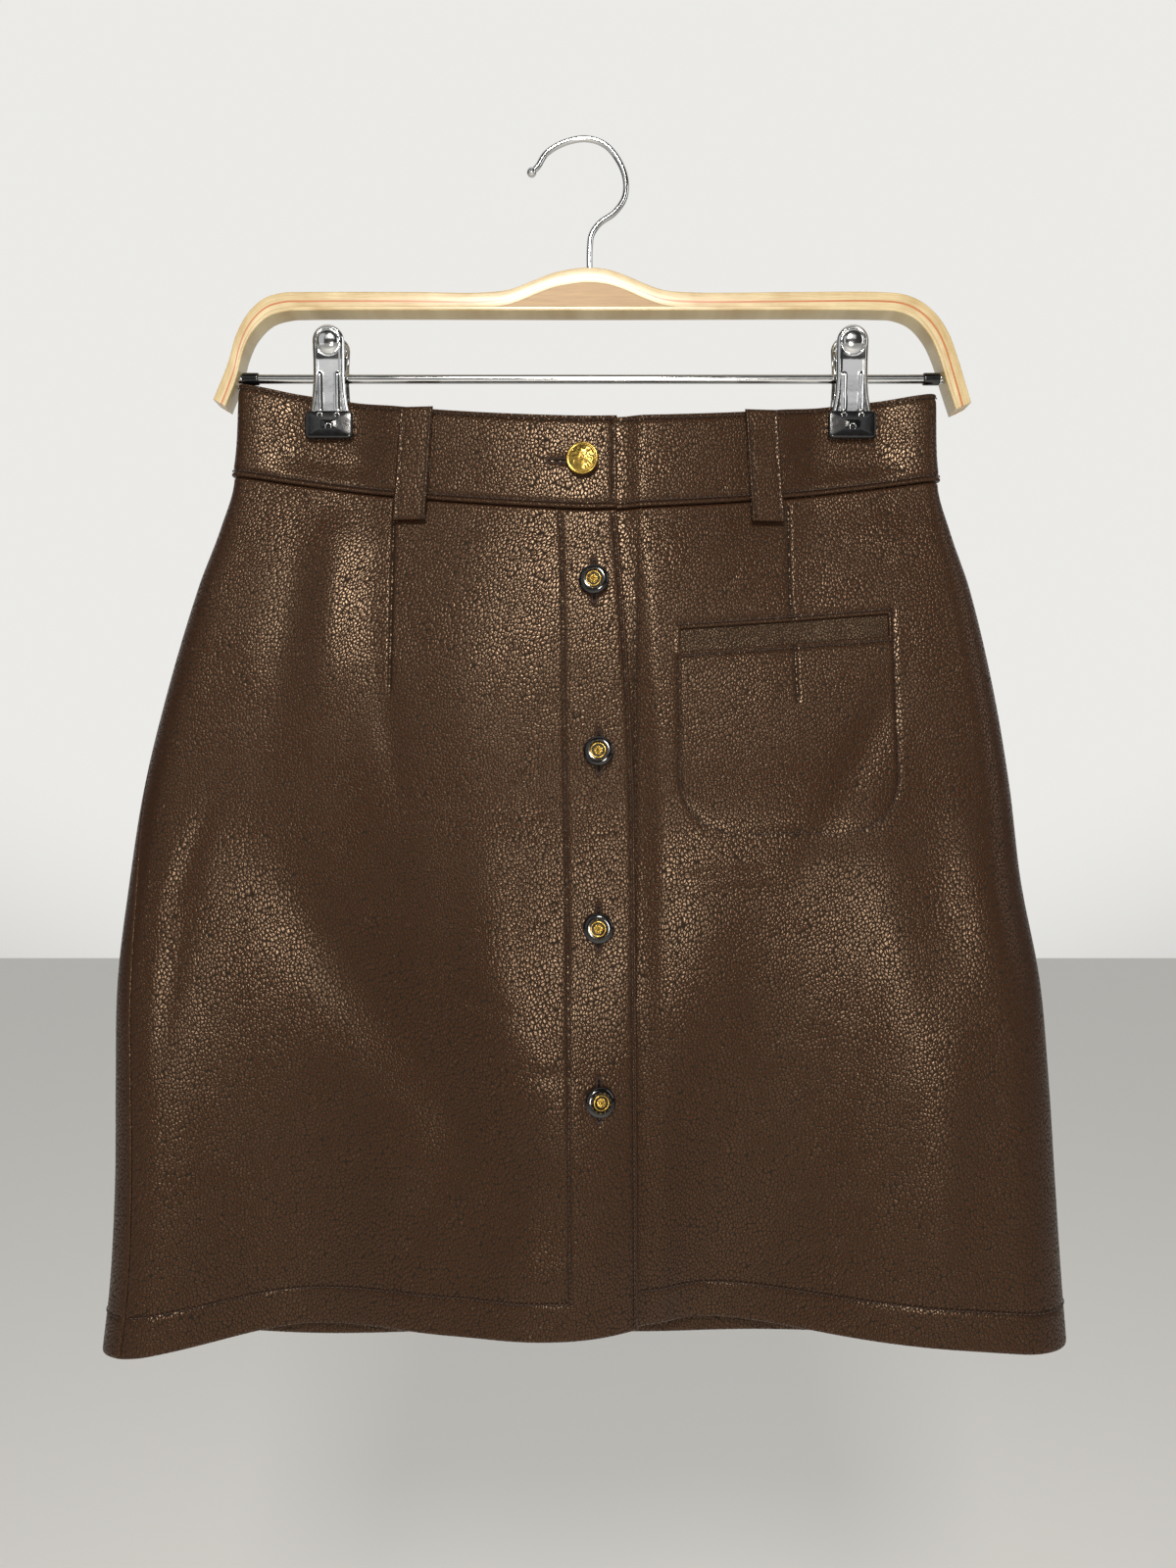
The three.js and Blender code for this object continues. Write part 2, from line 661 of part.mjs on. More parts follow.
// A flat outline in X and Z, made into a plate from front to back along Y with bevelled edges.
function plate(outline, front, back, bevel) {
  const geometry = new THREE.ExtrudeGeometry(new THREE.Shape(outline), {
    depth: back - front - 2 * bevel,
    bevelEnabled: bevel > 0,
    bevelThickness: bevel,
    bevelSize: bevel,
    bevelOffset: -bevel,
    bevelSegments: 1,
    curveSegments: 6,
  });
  geometry.rotateX(Math.PI / 2);
  geometry.translate(0, back - bevel, 0);
  return geometry;
}

function outerEdgeAt(x) {
  const points = edgeCurve(BOW_OUTER, 300);
  const k = points.findIndex((p) => p.x >= x);
  const [a, b] = [points[k - 1], points[k]];
  return a.y + ((b.y - a.y) * (x - a.x)) / (b.x - a.x);
}

function lensOutline(clear) {
  const [left, right] = [LENS.left + 3 * clear, LENS.right - 3 * clear];
  const top = [];
  for (let i = 0; i <= LENS.samples; i += 1) {
    const x = left + ((right - left) * i) / LENS.samples;
    const z = Math.max(outerEdgeAt(x) - LENS.under, LENS.base + 0.6) - clear;
    top.push(new THREE.Vector2(x, z));
  }
  return [
    new THREE.Vector2(left, LENS.base + clear),
    new THREE.Vector2(right, LENS.base + clear),
    ...top.reverse(),
  ];
}

// The bar and the hook are round wires.
const BAR = { radius: 2.35, z: -119.6, left: -178, right: 181, fit: 0.05 };
const HOOK = { radius: 1.65, ball: 2.5, stemX: 0.9, stemEnd: -70.6, segments: 10, samples: 44 };
const HOOK_PATH = [
  [-28.4, -15.3], [-25.4, -12.4], [-21.2, -5.9], [-11.9, -0.3], [-0.7, 1.65],
  [8.7, -1.5], [15.8, -10.0], [19.0, -19.5], [18.3, -28.2], [13.3, -35.6],
  [5.8, -41.0], [1.9, -46.5], [HOOK.stemX, -53.0], [HOOK.stemX, HOOK.stemEnd],
];

function cylinderAlongX(radius, left, right, z, segments = 16) {
  const geometry = new THREE.CylinderGeometry(radius, radius, right - left, segments);
  geometry.rotateZ(Math.PI / 2);
  geometry.translate((left + right) / 2, 0, z);
  return geometry;
}

const bowOutline = [
  ...edgeCurve(BOW_OUTER, BOW.outerSamples).reverse(),
  ...edgeCurve(BOW_INNER, BOW.innerSamples),
];
const stemHole = new THREE.CylinderGeometry(HOOK.radius + BAR.fit, HOOK.radius + BAR.fit, 9, 12);
stemHole.rotateX(Math.PI / 2);
stemHole.translate(HOOK.stemX, 0, HOOK.stemEnd - BAR.fit + 4.5);
const barHole = cylinderAlongX(BAR.radius + BAR.fit, BAR.left - 0.2, BAR.right + 0.2, BAR.z);
const bow = solidOf(plate(bowOutline, -BOW.deep / 2, BOW.deep / 2, BOW.bevel))
  .subtract(solidOf(plate(lensOutline(0), -BOW.deep, BOW.deep, 0)))
  .subtract(solidOf(stemHole))
  .subtract(solidOf(barHole));
addPart("hanger_bow", geometryOf(bow), "birch");
addPart(
  "hanger_inlay",
  plate(lensOutline(LENS.clear), -BOW.deep / 2 + 0.3, BOW.deep / 2 - 0.3, 0),
  "inlayWood",
);
addPart("clip_bar", cylinderAlongX(BAR.radius, BAR.left, BAR.right, BAR.z), "chrome");

const hookCurve = new THREE.CatmullRomCurve3(
  HOOK_PATH.map(([x, z]) => new THREE.Vector3(x, 0, z)),
  false,
  "centripetal",
);
const hookBall = new THREE.SphereGeometry(HOOK.ball, 14, 10);
hookBall.translate(HOOK_PATH[0][0], 0, HOOK_PATH[0][1]);

// A round wire along a curve, closed at both ends.
function wireGeometry(curve, radius, samples, segments) {
  const rings = [];
  for (let k = 0; k <= samples; k += 1) {
    const at = curve.getPointAt(k / samples);
    const along = curve.getTangentAt(k / samples);
    const side = new THREE.Vector3(along.z, 0, -along.x);
    const ring = [];
    for (let i = 0; i < segments; i += 1) {
      const angle = (2 * Math.PI * i) / segments;
      const p = at.clone().addScaledVector(side, radius * Math.cos(angle));
      ring.push([p.x, p.y + radius * Math.sin(angle), p.z]);
    }
    rings.push(ring);
  }
  const index = [];
  for (let k = 0; k < samples; k += 1) {
    for (let i = 0; i < segments; i += 1) {
      const a = k * segments + i;
      const b = k * segments + ((i + 1) % segments);
      index.push(a, b, b + segments, a, b + segments, a + segments);
    }
  }
  for (let i = 1; i < segments - 1; i += 1) {
    const last = samples * segments;
    index.push(0, i + 1, i, last, last + i, last + i + 1);
  }
  const geometry = new THREE.BufferGeometry();
  geometry.setAttribute("position", new THREE.Float32BufferAttribute(rings.flat(2), 3));
  geometry.setIndex(index);
  return geometry;
}

const hookWire = wireGeometry(hookCurve, HOOK.radius, HOOK.samples, HOOK.segments);
addPart("hanger_hook", geometryOf(solidOf(hookWire).add(solidOf(hookBall))), "chrome");

// A black cap on each end of the bar, against the bow's inner face.
const CAP = { radius: 3.1, length: 8.6, left: -174.2, right: 177.2 };
function capGeometry(left) {
  const cap = solidOf(cylinderAlongX(CAP.radius, left, left + CAP.length, BAR.z));
  const hole = solidOf(cylinderAlongX(BAR.radius + BAR.fit, left - 1, left + CAP.length + 1, BAR.z));
  return geometryOf(cap.subtract(hole));
}
addPart("bar_cap_left", capGeometry(CAP.left), "vinyl");
addPart("bar_cap_right", capGeometry(CAP.right - CAP.length), "vinyl");

// Clips: a pair of pressed jaws that lean together, each on two ears that ride the bar.
// The rows run down the front jaw; the back jaw is its mirror.
const JAW = { thick: 1, top: -95.4, round: 7.8, columns: 4 };
const JAW_ROWS = [
  { z: -103.2, y: -8.7, half: 7.8 },
  { z: -112, y: -7.4, half: 7.7 },
  { z: -120, y: -6.9, half: 7.7 },
  { z: -128, y: -6.3, half: 8.2 },
  { z: -133, y: -6.0, half: 8.9 },
  { z: -137.4, y: -5.7, half: 9.8 },
  { z: -143, y: -5.4, half: 9.9 },
];
const JAW_TOP_Y = -9.7;
const DOME = { z: -103.5, radius: 5.9, high: 2.2 };
const EAR = { thick: 0.8, front: 6.6, back: 5.5, above: 4.6, below: 4.6, past: 3.4 };
const SPRING = { radius: 4.3, half: 4.2 };
const PAD = { half: 12, top: -137.4, bottom: -151.2, face: 3.1, out: 7.2, corner: 2.6, bevel: 0.9 };

function jawRows() {
  const steps = 4;
  const rows = [];
  for (let i = 0; i < steps; i += 1) {
    const angle = ((i + 0.35) / steps) * (Math.PI / 2);
    const z = JAW.top - JAW.round * (1 - Math.cos(angle));
    const share = (JAW.top - z) / JAW.round;
    rows.push({
      z,
      y: JAW_TOP_Y + (JAW_ROWS[0].y - JAW_TOP_Y) * share,
      half: JAW.round * Math.sin(angle),
    });
  }
  return [...rows, ...JAW_ROWS];
}

function jawPlate(middle, grow) {
  const grid = (y) =>
    jawRows().map((row, i, all) => {
      const points = [];
      const drop = i === all.length - 1 ? grow : 0;
      for (let j = 0; j <= JAW.columns; j += 1) {
        const share = (2 * j) / JAW.columns - 1;
        points.push([middle + share * (row.half + grow), row.y + y, row.z - drop]);
      }
      return points;
    });
  return solidOf(wallGeometry(grid(-grow), grid(JAW.thick + grow)));
}

function boxSolid(left, right, front, back, bottom, top) {
  const box = new THREE.BoxGeometry(right - left, back - front, top - bottom);
  box.translate((left + right) / 2, (front + back) / 2, (bottom + top) / 2);
  return solidOf(box);
}

function mirrored(solid) {
  return solid.mirror([0, 1, 0]);
}

function jaw(middle, earAt, domed) {
  let solid = jawPlate(middle, 0);
  if (domed) {
    const rim = [0, 0.45, 0.8, 1].map((share) => {
      const radius = DOME.radius * share;
      return new THREE.Vector2(radius, DOME.high * Math.sqrt(Math.max(0, 1 - share ** 2)));
    });
    const profile = [new THREE.Vector2(0, -0.5), new THREE.Vector2(DOME.radius, -0.5)];
    const dome = new THREE.LatheGeometry([...profile, ...rim.reverse()], 16);
    dome.rotateX(Math.PI);
    dome.translate(middle, JAW_ROWS[0].y, DOME.z);
    solid = solid.add(solidOf(dome));
  }
  const [low, high] = [BAR.z - EAR.below, BAR.z + EAR.above];
  for (const side of [-1, 1]) {
    const outer = middle + side * earAt;
    const inner = outer - side * EAR.thick;
    const [left, right] = [Math.min(outer, inner), Math.max(outer, inner)];
    solid = solid.add(boxSolid(left, right, -6.6, EAR.past, low, high));
  }
  const hole = cylinderAlongX(BAR.radius + BAR.fit, middle - 9, middle + 9, BAR.z);
  return solid.subtract(solidOf(hole));
}

function pad(middle) {
  const { half, top, bottom, corner } = PAD;
  const outline = [];
  const corners = [
    [half - corner, bottom + corner, -90],
    [half - corner, top - corner, 0],
    [corner - half, top - corner, 90],
    [corner - half, bottom + corner, 180],
  ];
  for (const [x, z, from] of corners) {
    for (let i = 0; i <= 3; i += 1) {
      const angle = ((from + 30 * i) * Math.PI) / 180;
      const [dx, dz] = [corner * Math.cos(angle), corner * Math.sin(angle)];
      outline.push(new THREE.Vector2(middle + x + dx, z + dz));
    }
  }
  const block = solidOf(plate(outline, -PAD.out, -PAD.face, PAD.bevel));
  return block.subtract(jawPlate(middle, BAR.fit));
}

for (const [side, middle] of [
  ["left", -129.3],
  ["right", 131.8],
]) {
  addPart(`clip_${side}_front_jaw`, geometryOf(jaw(middle, EAR.front, true)), "chrome");
  addPart(`clip_${side}_back_jaw`, geometryOf(mirrored(jaw(middle, EAR.back, true))), "chrome");
  addPart(`clip_${side}_front_pad`, geometryOf(pad(middle)), "vinyl");
  addPart(`clip_${side}_back_pad`, geometryOf(mirrored(pad(middle))), "vinyl");
  const coil = cylinderAlongX(SPRING.radius, middle - SPRING.half, middle + SPRING.half, BAR.z);
  const bore = cylinderAlongX(BAR.radius + BAR.fit, middle - 9, middle + 9, BAR.z);
  addPart(`clip_${side}_spring`, geometryOf(solidOf(coil).subtract(solidOf(bore))), "chrome");
}

export default group;
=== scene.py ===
import math

import bpy
import numpy as np
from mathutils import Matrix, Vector


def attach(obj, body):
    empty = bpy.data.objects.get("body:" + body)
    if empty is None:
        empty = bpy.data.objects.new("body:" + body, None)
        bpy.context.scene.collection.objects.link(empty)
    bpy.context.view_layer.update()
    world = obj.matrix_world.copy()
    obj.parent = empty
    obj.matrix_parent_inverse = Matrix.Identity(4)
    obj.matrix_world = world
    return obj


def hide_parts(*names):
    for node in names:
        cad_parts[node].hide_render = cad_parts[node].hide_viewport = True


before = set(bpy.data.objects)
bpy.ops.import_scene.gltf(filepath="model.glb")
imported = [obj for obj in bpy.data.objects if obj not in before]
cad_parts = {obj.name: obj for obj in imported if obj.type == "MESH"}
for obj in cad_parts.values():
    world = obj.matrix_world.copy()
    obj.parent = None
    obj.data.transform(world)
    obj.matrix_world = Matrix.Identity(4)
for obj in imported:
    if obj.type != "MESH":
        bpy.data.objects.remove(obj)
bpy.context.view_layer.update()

# The camera stands where the photographer's phone did: level, 593 mm in front of the hanger and
# square to it, with a lens that sees 53 degrees across the upright 1200 by 1600 picture.
CAMERA_AT = (0.0, -0.593, -0.3237)
PIXELS_ACROSS, PIXELS_DOWN, FOCAL_PIXELS = 1200, 1600, 1200
camera_data = bpy.data.cameras.new("camera")
camera_data.sensor_width = 36.0
camera_data.lens = camera_data.sensor_width * FOCAL_PIXELS / max(PIXELS_ACROSS, PIXELS_DOWN)
camera_data.clip_start, camera_data.clip_end = 0.01, 40.0
camera = bpy.data.objects.new("camera", camera_data)
camera.location = CAMERA_AT
camera.rotation_euler = (math.radians(90), 0, 0)
bpy.context.collection.objects.link(camera)
bpy.context.scene.camera = camera

# The skirt's form, which all of its leather follows: a tube of soft leather, pressed flat by the
# clips at the waist and hanging in broad folds to the hem. It is walked round by a number, way,
# from -1 to 1 across the front and on to 3 across the back, and down by a level, from -1 at the
# band's top edge to 0 at the waist seam and 1 at the hem. All of these sizes are millimetres.
FLAT_SHARE = 0.8
SECTION_COLUMNS = ("level", "left", "right", "fold", "front", "back", "round", "bow")
SECTIONS = np.array(
    [
        (-1.0, 174.5, 174.0, 0, 4.5, 4.5, 5, 8),
        (0.0, 178.0, 176.0, 0, 6.0, 5.5, 7, 10),
        (0.06, 184.5, 182.0, -1, 8.5, 6.5, 11, 9.5),
        (0.13, 195.2, 191.5, -2, 12, 8, 15, 8),
        (0.245, 208.9, 201.9, -4, 17, 10.5, 19, 5),
        (0.36, 219.9, 209.1, -6, 21, 13, 22, 3),
        (0.47, 226.9, 214.2, -7, 23, 15, 24, 2),
        (0.585, 232.3, 223.0, -8, 25, 16.5, 26, 1),
        (0.7, 232.8, 227.0, -9, 26, 18, 28, 0),
        (0.81, 232.8, 229.6, -10, 26, 19, 29, 0),
        (0.92, 234.8, 232.3, -11, 26, 20, 30, 0),
        (1.0, 238.2, 234.6, -12, 26, 21, 30, 0),
    ]
)
# Edge lines: the height in the middle, the left and right sides' rise, and the curve's power.
TOP_EDGE = (-141.8, 18.8, 13.8, 1.65)
WAIST_SEAM = (-188.6, 19.1, 16.6, 1.4)
FRONT_HEM = (-589, -11, -6.5, 2.4)
BACK_HEM = (-600, 0.2, 2.7, 3)
# Folds: the valley's X at its top and at the hem, the level it starts from, its depth at the hem,
# and how far its left and right flanks reach.
FRONT_FOLDS = ((-132, -139, 0.2, 29, 37, 47), (92, 59, 0.42, 31, 30, 46))
BACK_FOLDS = ((-120, -128, 0.15, -9, 44, 52), (40, 22, 0.3, -7, 48, 42), (130, 146, 0.25, -8, 40, 40))
CLIP_X, PINCHED_WALL, PINCH_FLAT, PINCH_REACH, PINCH_FULL_TO, PINCH_GONE = 130.7, 1.55, 14, 36, -0.45, 0.12
BOW_REACH, BACK_BOW = 116, 3
# Soft swells and creases of each wall, too slight for the solids: where each is, how its long way
# is turned from level, its length and width as standard deviations, and its rise.
FRONT_SWELLS = (
    (98, -302, 90, 34, 30, 2.2),
    (128, -318, 62, 30, 6, -1.3),
    (104, -352, 5, 40, 5, -1.0),
    (-127, -232, 87, 46, 9, 2.0),
    (-146, -250, 80, 40, 8, -1.2),
    (-60, -282, 90, 46, 20, 1.8),
    (-96, -300, 100, 26, 5, -1.0),
    (60, -363, 4, 15, 1.8, -0.8),
    (66, -369, 8, 18, 1.7, 0.7),
    (44, -372, -14, 12, 1.8, -0.6),
    (-50, -429, -16, 10, 1.6, -0.8),
    (-56, -433, -12, 12, 1.7, 0.6),
    (-24, -462, -4, 14, 2.4, -0.5),
    (-192, -360, 70, 22, 3.5, -0.9),
    (-200, -420, 82, 34, 4, -0.9),
    (150, -420, 96, 46, 11, 1.6),
    (188, -380, 100, 44, 8, 1.6),
    (120, -470, 75, 36, 9, -1.2),
    (70, -520, 55, 26, 9, 1.2),
    (-76, -520, 68, 30, 8, -1.2),
    (-28, -540, 80, 22, 8, 1.5),
    (-12, -556, 20, 16, 8, 1.2),
    (168, -540, 88, 26, 8, 1.2),
    (36, -560, 85, 20, 6, 0.8),
    (-38, -435, 112, 74, 18, 4.6),
    (-92, -446, 128, 66, 14, -4.4),
    (-60, -550, 96, 40, 14, -2.6),
    (-178, -480, 94, 60, 16, -2.2),
    (-64, -380, 94, 40, 9, -1.3),
    (70, -455, 100, 44, 14, 1.6),
    (34, -430, 86, 50, 7, -0.9),
    (172, -470, 84, 50, 12, 1.8),
)
BACK_SWELLS = (
    (-140, -262, 92, 42, 12, 1.8),
    (-112, -300, 80, 34, 7, -1.2),
    (118, -280, 96, 46, 10, 1.6),
    (146, -310, 84, 30, 6, -1.0),
    (0, -300, 90, 60, 26, 1.6),
    (-40, -340, 12, 22, 4, -0.8),
    (52, -372, -10, 26, 5, -0.9),
    (60, -378, -14, 18, 2.4, 0.6),
    (-84, -430, 94, 56, 14, 1.7),
    (-30, -470, 78, 40, 9, -1.2),
    (84, -470, 100, 50, 15, 1.8),
    (160, -440, 88, 52, 9, -1.1),
    (-176, -480, 84, 44, 10, 1.4),
    (20, -540, 84, 30, 8, 1.2),
)


def smooth(low, high, value):
    """From 0 at low to 1 at high, with level ends: 3 t squared less 2 t cubed."""
    t = np.clip((value - low) / (high - low), 0, 1)
    return t * t * (3 - 2 * t)


def section(column, level):
    """A column of the sections table, on cubics whose slopes at each row come from its neighbours."""
    rows, values = SECTIONS[:, 0], SECTIONS[:, SECTION_COLUMNS.index(column)]
    slopes = np.empty(len(rows))
    slopes[1:-1] = (values[2:] - values[:-2]) / (rows[2:] - rows[:-2])
    slopes[0] = (values[1] - values[0]) / (rows[1] - rows[0])
    slopes[-1] = (values[-1] - values[-2]) / (rows[-1] - rows[-2])
    at = np.clip(level, rows[0], rows[-1])
    k = np.clip(np.searchsorted(rows, at) - 1, 0, len(rows) - 2)
    span = rows[k + 1] - rows[k]
    t = (at - rows[k]) / span
    return (
        (2 * t**3 - 3 * t**2 + 1) * values[k]
        + (t**3 - 2 * t**2 + t) * span * slopes[k]
        + (3 * t**2 - 2 * t**3) * values[k + 1]
        + (t**3 - t**2) * span * slopes[k + 1]
    )


def edge_height(edge, share):
    """The middle's height and the side's rise times the share of the half width to a power."""
    middle, left_rise, right_rise, power = edge
    return middle + np.where(share < 0, left_rise, right_rise) * np.abs(share) ** power


def height(share, level, back):
    """Level -1 to 0 goes from the top edge to the waist seam, and 0 to 1 from there to the hem."""
    seam = edge_height(WAIST_SEAM, share)
    hem = np.where(back, edge_height(BACK_HEM, share), edge_height(FRONT_HEM, share))
    up = edge_height(TOP_EDGE, share) - seam
    return seam + np.where(level < 0, -level * up, level * (hem - seam))


def folds_at(folds, x, level):
    """Each fold is a bell across, growing down the skirt by its depth times the way down to 1.2."""
    total = np.zeros(np.broadcast(x, level).shape)
    for top_x, hem_x, start, depth, left_width, right_width in folds:
        down = np.clip((level - start) / (1 - start), 0, None)
        off = x - (top_x + (hem_x - top_x) * down)
        width = np.where(off < 0, left_width, right_width)
        total = total + depth * down**1.2 * np.exp(-0.5 * (off / width) ** 2)
    return total


def bow_at(x):
    return np.clip(1 - (x / BOW_REACH) ** 2, 0, None) ** 2


def pinched(depth, x, level):
    """A wall's distance from the middle, pressed in where a clip holds it."""
    across = 1 - smooth(PINCH_FLAT, PINCH_REACH, np.abs(np.abs(x) - CLIP_X))
    share = across * (1 - smooth(PINCH_FULL_TO, PINCH_GONE, level))
    return depth + (PINCHED_WALL - depth) * share


def swells_at(swells, x, z):
    """The sum of the swells: each is its rise times a bell along and a bell across."""
    total = np.zeros(np.broadcast(x, z).shape)
    for at_x, at_z, turn, length, width, rise in swells:
        c, s = math.cos(math.radians(turn)), math.sin(math.radians(turn))
        along, across = (x - at_x) * c + (z - at_z) * s, (z - at_z) * c - (x - at_x) * s
        total = total + rise * np.exp(-0.5 * ((along / length) ** 2 + (across / width) ** 2))
    return total


def skirt(way, level, inset=0.0):
    """The skirt's surface, moved in by inset: flat walls joined by round side folds of a quarter
    turn each, front and back, with the bow, pinch, folds and swells added to each wall's depth."""
    way, level, inset = np.broadcast_arrays(np.asarray(way, float), level, inset)
    way = np.where(way > 3, way - 4, way)
    back = way > 1
    turn = np.where(back, 2 - way, way)
    half = np.where(turn < 0, section("left", level), section("right", level))
    radius = section("round", level)
    angle = np.clip((np.abs(turn) - FLAT_SHARE) / (1 - FLAT_SHARE), 0, None) * math.pi / 2
    rounded = np.sign(turn) * (half - radius + (radius - inset) * np.sin(angle))
    x = np.where(angle > 0, rounded, turn / FLAT_SHARE * (half - radius))
    z = height(x / half, level, back)
    fade, below_seam = 1 - smooth(-1, 0.5, level), smooth(0, 0.08, level)
    behind = pinched(section("back", level), x, level) + BACK_BOW * bow_at(x) * fade
    behind = behind + folds_at(BACK_FOLDS, x, level) + swells_at(BACK_SWELLS, x, z) * below_seam
    ahead = pinched(section("front", level), x, level) + section("bow", level) * bow_at(x)
    ahead = ahead - folds_at(FRONT_FOLDS, x, level) + swells_at(FRONT_SWELLS, x, z) * below_seam
    depth = np.where(back, behind - inset, inset - ahead) * np.cos(angle)
    return np.stack([x, section("fold", level) + depth, z], axis=-1)


def way_at(x, level):
    """The way of the front's flat part at X."""
    half = np.where(np.asarray(x) < 0, section("left", level), section("right", level))
    return x / (half - section("round", level)) * FLAT_SHARE


def level_at(x, z, back=False):
    """The level at a height, found by going round until the half width that it gives agrees."""
    level = np.full(np.broadcast(x, z).shape, 0.3)
    for _ in range(12):
        half = np.where(np.asarray(x) < 0, section("left", level), section("right", level))
        seam = height(x / half, 0.0, back)
        over = z > seam
        far = np.where(over, height(x / half, -1.0, back), height(x / half, 1.0, back))
        level = (seam - z) / (seam - far) * np.where(over, -1, 1)
    return level


def on_skirt(x, z, inset=0.0, back=False):
    """The surface's point at X and height Z."""
    level = level_at(x, z, back)
    way = way_at(x, level)
    return skirt(2 - way if back else way, level, inset)


def outward(way, level, inset=0.0):
    """The surface's unit normal, from small steps down and across."""
    across = skirt(way + 0.002, level, inset) - skirt(way - 0.002, level, inset)
    down = skirt(way, level + 0.002, inset) - skirt(way, level - 0.002, inset)
    normal = np.cross(down, across)
    return normal / np.linalg.norm(normal, axis=-1, keepdims=True)


# Full-grain cowhide, drum dyed dark chocolate and tumbled until its grain stood up in soft pebbles
# about 2 mm across. The tops are polished by wear and catch the light. The valleys are matt and
# painted nearly black as painted shade, and the dye lies darker along the turned edges.
PEBBLE_LEAN, PEBBLE_STRETCH, GRAIN_DRIFT = -0.35, (1.2, 0.85, 1.0), (0.008, 0.008, 0.0)
DOME_FALL, GROOVE_ROUGHNESS, WAX_TINT = -3.2, 0.85, "#ffdfbd"
# A Mix node's sockets for two colours and for the colour that it gives.
FIRST, SECOND, MIXED = 6, 7, 2


def linear(hex_code):
    """The linear colour of an sRGB hex value."""
    parts = [int(hex_code[i : i + 2], 16) / 255 for i in (1, 3, 5)]
    return (*[p / 12.92 if p <= 0.04045 else ((p + 0.055) / 1.055) ** 2.4 for p in parts], 1.0)


def add_node(tree, kind, sockets=None, **settings):
    """Adds a node, gives it its settings, and sets or links its sockets."""
    made = tree.nodes.new(kind)
    for key, value in settings.items():
        setattr(made, key, value)
    for key, value in (sockets or {}).items():
        if isinstance(value, bpy.types.NodeSocket):
            tree.links.new(value, made.inputs[key])
        else:
            made.inputs[key].default_value = value
    return made


def new_material(name):
    material = bpy.data.materials.new(name)
    material.use_nodes = True
    material.node_tree.nodes.clear()
    return material, material.node_tree


def finish_material(tree, **sockets):
    surface = add_node(tree, "ShaderNodeBsdfPrincipled", sockets)
    add_node(tree, "ShaderNodeOutputMaterial", {"Surface": surface.outputs["BSDF"]})


